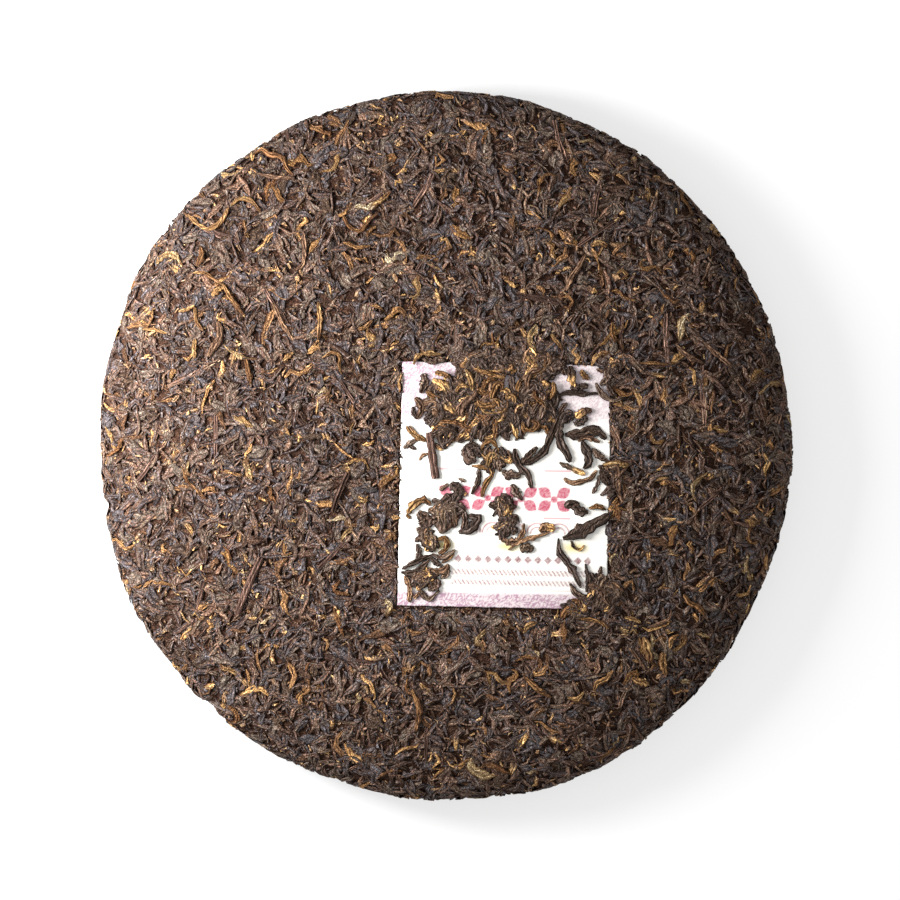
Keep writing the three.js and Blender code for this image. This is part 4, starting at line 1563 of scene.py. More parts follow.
# Single leaves on the ticket, counted from its middle, from the far left corner on
TICKET_LEAVES = (
    LaidLeaf(GOLD, 1.6, ((-26.2, 33.4), (-25.2, 35.6), (-22.0, 36.6), (-18.5, 36.2)), 0.9),
    LaidLeaf(DARK, 1.9, ((-23.8, 35.2), (-21.0, 34.4), (-17.6, 34.7)), 0.5),
    LaidLeaf(DARK, 2.9, ((-23.4, 31.0), (-23.0, 28.2), (-24.1, 25.4))),
    LaidLeaf(TAN, 2.5, ((-25.6, 24.2), (-23.9, 21.9), (-24.0, 19.8), (-24.9, 18.2)), 0.4),
    LaidLeaf(DARK, 1.3, ((-26.1, 21.6), (-25.9, 19.7), (-24.9, 18.1))),
    LaidLeaf(DARK, 1.6, ((-23.0, 18.6), (-21.6, 17.2), (-20.6, 15.6))),
    LaidLeaf(GOLD, 1.9, ((-28.0, 16.0), (-26.2, 14.2), (-22.3, 12.0)), 0.4),
    LaidLeaf(TAN, 1.2, ((-27.0, 16.3), (-26.0, 14.8), (-25.0, 14.0)), 0.6),
    LaidLeaf(DARK, 1.5, ((-28.5, 9.8), (-26.9, 11.2), (-24.9, 12.4))),
    LaidLeaf(DARK, 1.1, ((-26.8, 10.3), (-25.0, 9.7))),
    LaidLeaf(TAN, 1.0, ((-24.1, 6.5), (-23.2, 8.0), (-21.4, 8.5))),
    LaidLeaf(TWIG, 2.5, ((-21.5, 14.5), (-20.6, 9.0), (-19.3, 1.6)), 0.4),
    LaidLeaf(DARK, 1.5, ((-18.9, 12.6), (-17.6, 10.9), (-16.8, 9.8))),
    LaidLeaf(TAN, 1.2, ((-19.7, 11.5), (-18.6, 10.2), (-17.6, 9.6)), 0.4),
    LaidLeaf(DARK, 1.6, ((-17.4, 14.6), (-16.8, 12.2), (-16.6, 10.0))),
    LaidLeaf(GOLD, 1.7, ((-19.3, 17.4), (-15.2, 17.5), (-11.2, 16.6)), 1.4),
    LaidLeaf(TAN, 1.3, ((-14.4, 19.4), (-13.4, 21.6), (-12.6, 23.0)), 1.7),
    LaidLeaf(GOLD, 2.2, ((-20.2, 31.2), (-17.9, 30.9), (-15.8, 30.0)), 1.6),
    LaidLeaf(GOLD, 1.3, ((-14.2, 25.8), (-13.0, 27.6), (-10.6, 27.4)), 2.0),
    LaidLeaf(GOLD, 1.7, ((-11.5, 32.3), (-10.2, 29.6), (-9.6, 26.4)), 1.9),
    LaidLeaf(GOLD, 1.5, ((-9.4, 32.6), (-5.2, 31.2), (-0.6, 30.1)), 1.8),
    LaidLeaf(GOLD, 1.3, ((-6.5, 26.8), (-5.8, 29.0), (-4.2, 29.8), (-3.2, 29.4)), 2.0),
    LaidLeaf(GOLD, 2.1, ((-4.4, 24.0), (-3.8, 26.4), (-2.4, 28.6), (-1.2, 27.8), (-1.8, 26.8)), 2.1),
    LaidLeaf(GOLD, 1.6, ((-4.0, 24.2), (-2.8, 23.0), (-2.2, 21.8)), 2.0),
    LaidLeaf(TAN, 1.4, ((-20.6, 28.2), (-19.2, 26.8), (-17.6, 26.4)), 1.7),
    LaidLeaf(DARK, 1.4, ((-17.8, 24.6), (-16.4, 22.6), (-15.8, 21.4)), 1.8),
    LaidLeaf(TAN, 1.3, ((-6.4, 17.0), (-4.6, 19.2), (-3.4, 20.2)), 1.8),
    LaidLeaf(DARK, 1.5, ((-13.4, 11.9), (-11.2, 13.0), (-9.4, 14.6)), 0.5),
    LaidLeaf(TAN, 1.4, ((-15.2, 12.0), (-13.2, 13.0), (-11.4, 15.0)), 0.7),
    LaidLeaf(TAN, 1.2, ((-9.8, 14.3), (-6.2, 13.5), (-4.0, 13.6), (-3.0, 15.6)), 0.5),
    LaidLeaf(DARK, 1.5, ((-3.6, 16.6), (-2.6, 14.6), (-3.4, 12.0)), 0.5),
    LaidLeaf(DARK, 3.6, ((-11.2, 11.0), (-10.4, 8.2), (-8.2, 6.4))),
    LaidLeaf(DARK, 3.0, ((-11.0, 8.8), (-8.6, 9.6), (-6.4, 8.2)), 0.5),
    LaidLeaf(DARK, 1.7, ((-11.4, 10.9), (-9.4, 11.3), (-7.2, 10.6)), 0.7),
    LaidLeaf(GOLD, 1.4, ((-6.8, 9.6), (-6.0, 11.6), (-4.2, 12.4), (-2.6, 11.2), (-1.9, 9.4)), 0.9),
    LaidLeaf(GOLD, 1.5, ((-6.9, 9.3), (-5.4, 7.9), (-2.8, 7.7), (-1.9, 8.9)), 0.9),
    LaidLeaf(DARK, 2.8, ((-5.8, 7.4), (-2.6, 6.6), (0.4, 6.2))),
    LaidLeaf(DARK, 2.2, ((-1.6, 10.8), (-0.4, 8.6), (0.2, 6.4)), 0.4),
    LaidLeaf(TAN, 1.4, ((0.4, 10.0), (1.4, 8.4), (1.2, 6.2)), 0.4),
    LaidLeaf(GOLD, 1.9, ((-9.4, 5.3), (-6.0, 5.1), (-3.6, 4.3), (-3.6, 3.2), (-5.4, 0.4), (-6.4, -3.4)), 0.4),
    LaidLeaf(DARK, 1.6, ((-7.4, 4.6), (-7.4, 1.4), (-9.2, -2.6))),
    LaidLeaf(DARK, 1.1, ((-13.0, 1.8), (-11.0, 0.9))),
    LaidLeaf(TAN, 1.7, ((6.2, 26.4), (5.7, 29.5), (7.2, 32.3), (9.6, 32.8)), 1.8),
    LaidLeaf(GOLD, 1.7, ((13.0, 29.4), (13.1, 26.6), (12.2, 24.6)), 1.7),
    LaidLeaf(DARK, 2.0, ((8.0, 28.8), (9.4, 26.6), (11.2, 25.4)), 2.0),
    LaidLeaf(GOLD, 1.9, ((4.6, 17.8), (5.2, 15.9), (8.0, 16.0), (8.8, 17.6), (7.0, 18.5)), 1.3),
    LaidLeaf(GOLD, 1.7, ((9.7, 16.7), (11.2, 16.4), (11.6, 14.6)), 0.9),
    LaidLeaf(TAN, 1.5, ((2.6, 20.0), (3.2, 22.0), (4.8, 22.8)), 1.6),
    LaidLeaf(DARK, 1.0, ((2.6, 12.7), (4.1, 13.7), (5.2, 13.2))),
    LaidLeaf(DARK, 2.3, ((15.8, 21.4), (14.0, 17.4), (12.2, 13.2), (10.8, 9.6), (8.0, 7.4), (5.0, 6.2)), 0.5),
    LaidLeaf(DARK, 1.6, ((17.0, 23.6), (15.9, 22.2), (14.8, 20.6)), 0.6),
    LaidLeaf(DARK, 1.9, ((9.0, 11.0), (6.8, 8.9), (4.4, 6.4)), 0.7),
    LaidLeaf(DARK, 2.3, ((2.6, 10.5), (2.8, 8.2), (4.2, 5.6), (6.6, 3.2), (7.4, -0.5))),
    LaidLeaf(DARK, 2.5, ((-0.8, 3.9), (1.8, 3.0), (4.6, 3.0))),
    LaidLeaf(DARK, 2.6, ((14.8, 18.0), (15.2, 13.2), (16.8, 10.0), (18.3, 6.9)), 0.5),
    LaidLeaf(DARK, 2.4, ((18.8, 20.6), (16.9, 20.5), (15.5, 18.4), (15.2, 15.8)), 0.7),
    LaidLeaf(TAN, 2.4, ((24.0, 21.7), (21.4, 21.0), (19.4, 19.6)), 0.5),
    LaidLeaf(DARK, 2.7, ((23.0, 19.4), (20.9, 18.6), (19.4, 17.2))),
    LaidLeaf(DARK, 1.3, ((20.2, 20.6), (18.6, 19.4), (16.4, 17.8)), 0.4),
    LaidLeaf(DARK, 3.0, ((16.6, 14.6), (20.4, 14.9), (24.6, 15.9), (26.4, 15.2), (28.2, 13.6)), 0.4),
    LaidLeaf(TAN, 1.5, ((20.3, 12.8), (22.5, 14.0), (24.8, 13.4), (26.4, 12.7)), 0.6),
    LaidLeaf(DARK, 2.9, ((21.4, 12.8), (22.8, 9.8), (23.4, 7.4), (22.0, 5.2)), 0.4),
    LaidLeaf(DARK, 1.8, ((24.2, 11.0), (26.4, 8.8), (28.8, 7.5)), 0.4),
    LaidLeaf(DARK, 1.8, ((15.2, 6.8), (18.5, 5.2), (22.5, 3.6)), 0.4),
    LaidLeaf(TAN, 1.6, ((16.6, 2.5), (18.3, 1.2), (21.0, 1.5), (24.0, 2.6), (25.8, 4.8))),
    LaidLeaf(DARK, 1.3, ((26.3, 3.6), (26.2, 1.5), (24.6, -1.7))),
    LaidLeaf(DARK, 1.9, ((27.0, 6.4), (27.6, 3.2), (30.2, -0.4)), 0.6),
    LaidLeaf(TAN, 1.4, ((28.2, 6.2), (28.9, 4.4), (30.0, 3.0)), 0.7),
    LaidLeaf(DARK, 1.6, ((14.0, 25.2), (16.8, 26.4), (20.0, 26.3), (23.0, 26.2), (25.6, 26.4)), 0.5),
    LaidLeaf(DARK, 2.2, ((17.8, 27.8), (20.5, 28.2), (22.9, 28.5)), 0.6),
    LaidLeaf(DARK, 2.6, ((17.6, 34.0), (18.2, 30.5), (18.9, 28.0)), 0.5),
    LaidLeaf(GOLD, 1.7, ((20.7, 32.9), (21.6, 31.4), (23.0, 30.2)), 0.5),
    LaidLeaf(DARK, 1.7, ((25.0, 29.4), (25.8, 27.4), (27.2, 25.8), (30.4, 24.5), (32.6, 25.4)), 0.8),
    LaidLeaf(DARK, 2.2, ((27.6, 33.4), (28.0, 30.6), (26.2, 28.8)), 0.6),
    LaidLeaf(TAN, 1.3, ((25.0, 33.2), (26.6, 32.6), (28.2, 32.8)), 0.9),
    LaidLeaf(DARK, 1.7, ((28.3, 31.5), (28.4, 28.4), (30.2, 25.8)), 0.8),
    LaidLeaf(DARK, 3.4, ((-15.0, 0.6), (-12.8, -2.2), (-14.2, -5.2))),
    LaidLeaf(DARK, 1.3, ((-15.8, 0.2), (-18.2, -1.7))),
    LaidLeaf(DARK, 1.2, ((-12.0, -3.4), (-10.6, -2.2)), 0.4),
    LaidLeaf(DARK, 3.0, ((-15.2, -3.4), (-17.6, -5.4), (-19.4, -8.6))),
    LaidLeaf(DARK, 3.6, ((-18.8, -6.6), (-17.4, -10.2), (-17.4, -13.8)), 0.5),
    LaidLeaf(DARK, 1.9, ((-15.2, -5.6), (-12.4, -6.2), (-10.4, -8.0)), 0.5),
    LaidLeaf(TAN, 2.4, ((-14.6, -6.8), (-13.8, -9.0), (-13.6, -11.8)), 0.4),
    LaidLeaf(DARK, 2.2, ((-11.6, -7.0), (-10.9, -9.6), (-11.4, -12.6)), 0.5),
    LaidLeaf(DARK, 2.9, ((-10.2, -8.8), (-7.2, -9.2), (-8.6, -11.4), (-12.6, -13.4))),
    LaidLeaf(GOLD, 2.5, ((-27.2, -8.4), (-25.2, -5.8), (-22.2, -4.5), (-20.6, -5.8)), 0.5),
    LaidLeaf(GOLD, 1.1, ((-27.4, -8.6), (-26.2, -9.8)), 0.3),
    LaidLeaf(DARK, 4.0, ((-24.2, -8.0), (-22.2, -9.6), (-21.2, -12.4))),
    LaidLeaf(DARK, 1.6, ((-24.4, -13.2), (-23.0, -12.4))),
    LaidLeaf(DARK, 3.4, ((-22.6, -13.0), (-21.8, -15.6), (-19.4, -17.8)), 0.5),
    LaidLeaf(DARK, 1.8, ((-24.2, -16.8), (-23.6, -19.2), (-24.4, -21.6))),
    LaidLeaf(GOLD, 1.8, ((-18.6, -15.6), (-16.8, -14.9), (-15.6, -16.4), (-16.4, -18.4), (-18.2, -19.4)), 0.6),
    LaidLeaf(DARK, 1.6, ((-20.0, -19.6), (-17.0, -20.4), (-13.4, -18.3)), 0.5),
    LaidLeaf(TAN, 1.3, ((-17.2, -21.9), (-15.4, -20.9), (-13.7, -19.4)), 0.4),
    LaidLeaf(DARK, 1.6, ((-28.3, -24.0), (-25.2, -22.2), (-19.8, -19.8)), 0.6),
    LaidLeaf(DARK, 1.9, ((-28.5, -24.8), (-26.0, -25.2), (-22.4, -23.2), (-20.6, -21.0)), 0.4),
    LaidLeaf(DARK, 1.7, ((-20.6, -20.2), (-18.6, -22.0), (-16.9, -23.0)), 0.5),
    LaidLeaf(TAN, 2.0, ((-21.2, -23.6), (-18.6, -24.4), (-16.2, -23.8), (-15.4, -22.2)), 0.5),
    LaidLeaf(DARK, 1.6, ((-15.4, -22.4), (-15.6, -25.0), (-17.4, -26.4))),
    LaidLeaf(TAN, 1.9, ((-27.4, -25.8), (-26.0, -29.0), (-26.0, -33.2)), 0.4),
    LaidLeaf(TAN, 4.2, ((-25.4, -25.4), (-22.2, -26.6), (-19.0, -26.2)), 0.4),
    LaidLeaf(DARK, 2.0, ((-18.4, -26.2), (-18.4, -28.4), (-20.8, -29.8)), 0.7),
    LaidLeaf(DARK, 1.6, ((-24.2, -28.2), (-22.4, -30.8), (-21.0, -32.2), (-17.6, -29.8)), 0.3),
    LaidLeaf(TAN, 1.4, ((-24.8, -32.2), (-23.2, -30.4)), 0.4),
    LaidLeaf(DARK, 2.4, ((2.0, 0.5), (3.2, -1.8), (5.0, -3.9))),
    LaidLeaf(DARK, 1.4, ((-0.6, -8.8), (3.0, -8.6), (4.4, -10.2)), 0.5),
    LaidLeaf(TAN, 2.4, ((-0.6, -15.0), (1.8, -15.8), (4.6, -15.4)), 0.4),
    LaidLeaf(TAN, 1.4, ((1.4, -18.0), (4.6, -15.6), (8.4, -14.3), (12.6, -13.0)), 0.5),
    LaidLeaf(TAN, 1.6, ((5.7, -10.4), (5.4, -12.8), (4.0, -15.4)), 0.6),
    LaidLeaf(TAN, 2.7, ((10.0, -12.6), (11.6, -11.4), (14.3, -12.0)), 0.5),
    LaidLeaf(DARK, 2.8, ((4.6, -17.6), (6.5, -17.3), (8.6, -17.6))),
    LaidLeaf(DARK, 3.2, ((16.8, -5.4), (19.4, -4.8), (21.2, -6.6), (23.6, -7.0))),
    LaidLeaf(GOLD, 1.9, ((23.8, -5.9), (26.0, -5.2), (28.6, -6.2)), 0.4),
    LaidLeaf(DARK, 3.4, ((16.6, -14.4), (20.4, -13.0), (25.4, -10.4), (30.0, -7.2)), 0.4),
    LaidLeaf(DARK, 0.9, ((20.7, -10.0), (20.3, -11.4), (19.8, -12.6)), 0.5),
    LaidLeaf(DARK, 0.9, ((18.9, -15.0), (20.0, -17.0), (21.6, -17.5), (22.7, -16.2))),
    LaidLeaf(DARK, 1.8, ((15.4, -14.4), (15.6, -18.0), (17.4, -20.4), (19.6, -23.6), (22.0, -28.2)), 0.4),
    LaidLeaf(DARK, 1.3, ((23.1, -21.4), (23.7, -25.0), (23.6, -29.4))),
    LaidLeaf(DARK, 2.0, ((18.9, -27.0), (20.6, -29.8), (24.0, -31.6), (26.0, -33.0)), 0.5),
    LaidLeaf(DARK, 1.4, ((27.6, -22.0), (27.2, -24.2), (25.0, -26.8)), 0.4),
    LaidLeaf(GOLD, 1.4, ((19.3, -31.6), (20.9, -31.8), (21.6, -33.2), (19.9, -34.0)), 0.5),
)

# Leaves that stand out on the cake, counted from its middle
CAKE_LEAVES = (
    LaidLeaf(TWIG, 2.3, ((-51.5, -31.3), (-55.2, -39.0), (-58.6, -47.3)), 0.55),
    LaidLeaf(TWIG, 2.0, ((-27.3, -7.7), (-29.5, -13.0), (-31.3, -18.5)), 0.55),
    LaidLeaf(GOLD, 1.2, ((-75.4, -5.7), (-72.3, -12.0), (-68.0, -15.1)), 0.6),
    LaidLeaf(TAN, 1.6, ((-47.8, 39.9), (-45.2, 34.4), (-42.1, 29.3)), 0.6),
    LaidLeaf(GOLD, 1.6, ((-72.5, 65.5), (-69.5, 62.5), (-66.5, 61), (-63, 62.5), (-60.5, 67)), 1.2),
    LaidLeaf(GOLD, 1.5, ((-60, 67.5), (-57.5, 69.5), (-54.5, 69), (-51.5, 65.5)), 1.2),
    LaidLeaf(GOLD, 1.8, ((-9.1, -67.8), (-7.1, -72.9), (-8.0, -79.7)), 1.2),
    LaidLeaf(GOLD, 1.5, ((-54.5, 83), (-52, 84.5), (-49.5, 82.5), (-46, 81.5), (-44, 77.5), (-42.5, 76)), 1.2),
    LaidLeaf(TAN, 1.4, ((-53, 77), (-47, 75.5), (-42, 75)), 1.2),
    LaidLeaf(GOLD, 1.8, ((-68.5, 56), (-68, 53.5), (-69.5, 50.5)), 1.2),
    LaidLeaf(GOLD, 1.4, ((-70.5, 48.5), (-67.5, 48.5), (-65, 47), (-62, 45)), 1.2),
    LaidLeaf(GOLD, 1.5, ((-62, 45.5), (-60, 42), (-57.5, 38.5), (-56, 36.5)), 1.2),
    LaidLeaf(GOLD, 2.2, ((-65, 42), (-63.5, 43.5), (-61.5, 44.5)), 1.1),
    LaidLeaf(GOLD, 1.3, ((-75, 38), (-72, 38.5), (-70, 39.5)), 1.2),
    LaidLeaf(GOLD, 1.2, ((-70, 39), (-69.5, 34.5), (-68, 32.5)), 1.2),
    LaidLeaf(GOLD, 1.3, ((-86.5, 33.5), (-82, 33), (-79, 32)), 1.2),
    LaidLeaf(GOLD, 1.6, ((-70.5, 30.5), (-71, 27.5), (-71, 25)), 1.2),
    LaidLeaf(TAN, 2.2, ((-63.5, 35), (-63, 31.5), (-66, 27), (-67, 25.5)), 1.1),
    LaidLeaf(GOLD, 1.6, ((-56, 24.5), (-55.5, 21), (-55, 17.5)), 1.2),
    LaidLeaf(GOLD, 1.5, ((-45, 24), (-43.5, 25), (-42, 26)), 1.2),
    LaidLeaf(GOLD, 1.6, ((-35, 40), (-34.5, 35), (-35, 29.5)), 1.2),
    LaidLeaf(GOLD, 1.2, ((-34, 24.5), (-31, 26), (-29.5, 25.5), (-29, 21), (-28.5, 20)), 1.2),
    LaidLeaf(GOLD, 1.3, ((-28, 56.5), (-26.5, 56), (-24, 55), (-20.5, 55.5)), 1.2),
    LaidLeaf(GOLD, 1.4, ((-28, 64), (-26.5, 61), (-23.5, 59.5), (-21.5, 62), (-18.5, 65)), 1.2),
    LaidLeaf(GOLD, 1.6, ((-20, 67), (-17.5, 68.5), (-15, 71)), 1.2),
    LaidLeaf(TAN, 1.3, ((-39.5, 60), (-39, 55), (-40, 50), (-42, 49)), 1.2),
    LaidLeaf(GOLD, 1.2, ((-24, 32.5), (-22, 33), (-20, 35)), 1.2),
    LaidLeaf(GOLD, 1.7, ((22, -51.5), (23, -49.5), (25.5, -48.5)), 1.2),
    LaidLeaf(GOLD, 1.3, ((37.5, -48), (41.5, -48.5), (44, -49.5), (46, -51)), 1.2),
    LaidLeaf(GOLD, 1.5, ((50.5, -48), (53, -48.5), (55, -49.5)), 1.2),
    LaidLeaf(TAN, 1.1, ((57, -51), (60, -50), (63.5, -48), (64, -46)), 1.2),
    LaidLeaf(GOLD, 2.4, ((56, -53.5), (57, -57), (58, -61)), 1.1),
    LaidLeaf(GOLD, 2.6, ((61.5, -58), (61.5, -61), (62.5, -64.5)), 1.1),
    LaidLeaf(GOLD, 1.6, ((63.5, -57), (64, -54.5), (66, -53)), 1.2),
    LaidLeaf(GOLD, 1.6, ((22, -63.5), (24.5, -66), (27, -68), (29.5, -69.5)), 1.2),
    LaidLeaf(GOLD, 1.5, ((34, -69.5), (36.5, -70), (39, -68.5)), 1.2),
    LaidLeaf(GOLD, 1.7, ((41.5, -68), (42, -66), (45, -64.5), (47, -62.5)), 1.2),
    LaidLeaf(GOLD, 2.2, ((52.5, -65), (54.5, -66), (57.5, -67)), 1.1),
    LaidLeaf(TAN, 1.2, ((52, -56.5), (54.5, -60), (56.5, -63)), 1.2),
    LaidLeaf(GOLD, 1.8, ((68, -42), (69.5, -44.5), (72, -45.5), (74, -48)), 1.2),
    LaidLeaf(GOLD, 1.5, ((72.5, -41.5), (74, -40.5), (75, -39.5)), 1.2),
    LaidLeaf(GOLD, 1.8, ((41, 56), (43.5, 57), (46, 56)), 1.2),
    LaidLeaf(TAN, 2.2, ((34, 60), (35, 58.5), (35.5, 57)), 1.1),
    LaidLeaf(GOLD, 1.2, ((48.5, 48.5), (50.5, 49.5), (51.5, 48.5), (50, 47)), 1.2),
    LaidLeaf(GOLD, 1.0, ((33, 41.5), (34.5, 42), (36, 40.5), (35, 39), (33.5, 39)), 1.2),
    LaidLeaf(TAN, 1.6, ((34, 43.5), (35.5, 47), (37.5, 50), (39.5, 53.5)), 1.2),
    LaidLeaf(TAN, 1.5, ((40.5, 45), (41.5, 44), (43, 43.5)), 1.2),
    LaidLeaf(GOLD, 1.3, ((30, 31.5), (32, 29), (33.5, 27)), 1.2),
    LaidLeaf(GOLD, 1.6, ((47.5, 35), (47.5, 32), (48.5, 29.5)), 1.2),
    LaidLeaf(GOLD, 1.2, ((55.5, 23.5), (59, 23.5), (63.5, 23)), 1.2),
    LaidLeaf(TAN, 1.6, ((65.5, 29), (69, 25.5), (73.5, 23.5)), 1.2),
    LaidLeaf(TAN, 1.6, ((74, 29), (77.5, 26), (82, 22.5)), 1.2),
    LaidLeaf(GOLD, 1.8, ((73, 38), (73.5, 39.5), (73.5, 41)), 1.1),
    LaidLeaf(GOLD, 1.6, ((64, 53.5), (64.5, 55), (65, 56)), 1.2),
)


def smooth_lines(lines: list[np.ndarray], rings: int) -> np.ndarray:
    """Runs smooth curves through listed lines, with evenly spaced stations.

    Args:
        lines: the points of each line
        rings: how many stations each curve gets

    Returns:
        Lines by stations, each a flat point.
    """
    curves = []
    for line in lines:
        reach = np.concatenate([[0.0], np.cumsum(np.linalg.norm(np.diff(line, axis=0), axis=1))])
        slopes = np.gradient(line, reach, axis=0)
        way = np.linspace(0.0, reach[-1], rings)
        part = np.clip(np.searchsorted(reach, way, side="right") - 1, 0, len(line) - 2)
        span = reach[part + 1] - reach[part]
        t = ((way - reach[part]) / span)[:, None]
        start, end = line[part], line[part + 1]
        lean_start, lean_end = slopes[part] * span[:, None], slopes[part + 1] * span[:, None]
        curves.append(
            (2 * t**3 - 3 * t**2 + 1) * start
            + (t**3 - 2 * t**2 + t) * lean_start
            + (3 * t**2 - 2 * t**3) * end
            + (t**3 - t**2) * lean_end
        )
    return np.stack(curves)


@dataclass(frozen=True)
class Heap:
    """A heap of leaves: middle, half sizes, turn, height and how many leaves of each look."""

    x: float
    y: float
    long: float
    wide: float
    turn: float
    tall: float
    dark: int
    tan: int
    gold: int


# Heaps on the ticket, counted from its middle
HEAPS = (
    Heap(-6.5, 22.8, 16.2, 10.4, 0.0, 2.3, 104, 16, 11),
    Heap(-16.6, 23.4, 5.6, 8.6, -8.0, 2.1, 26, 5, 3),
    Heap(9.2, 24.8, 5.8, 9.2, 10.0, 2.3, 31, 4, 3),
    Heap(-17.0, 14.8, 5.0, 2.6, 8.0, 1.5, 12, 3, 2),
    Heap(-3.6, 7.6, 4.6, 2.4, 0.0, 1.2, 10, 3, 1),
    Heap(-16.2, -8.0, 4.6, 4.8, 20.0, 1.4, 15, 2, 0),
    Heap(-21.0, -15.0, 2.6, 4.0, 30.0, 1.2, 8, 1, 0),
    Heap(-21.8, -26.6, 4.4, 3.2, 10.0, 1.3, 10, 5, 0),
    Heap(-0.3, -5.7, 3.6, 2.5, 0.0, 1.5, 14, 1, 0),
    Heap(0.6, -11.6, 3.5, 2.8, 0.0, 1.5, 15, 1, 0),
    Heap(27.4, -29.4, 4.0, 5.4, 0.0, 1.7, 22, 3, 0),
)

# Heaps that the cake's own leaves make over the ticket's edges, counted from the ticket's middle
EDGE_HEAPS = (
    Heap(-6.0, 34.0, 9.5, 3.4, 0.0, 1.1, 32, 6, 3),
    Heap(8.6, 33.6, 8.0, 3.4, 0.0, 1.1, 28, 5, 2),
    Heap(30.4, -29.6, 2.4, 5.6, 0.0, 0.9, 17, 3, 1),
    Heap(20.5, -34.8, 4.0, 1.6, 0.0, 0.8, 9, 5, 2),
    Heap(30.8, 3.0, 1.4, 6.0, 0.0, 0.8, 9, 3, 1),
    Heap(29.6, 34.0, 2.0, 2.4, 0.0, 0.8, 8, 1, 0),
)


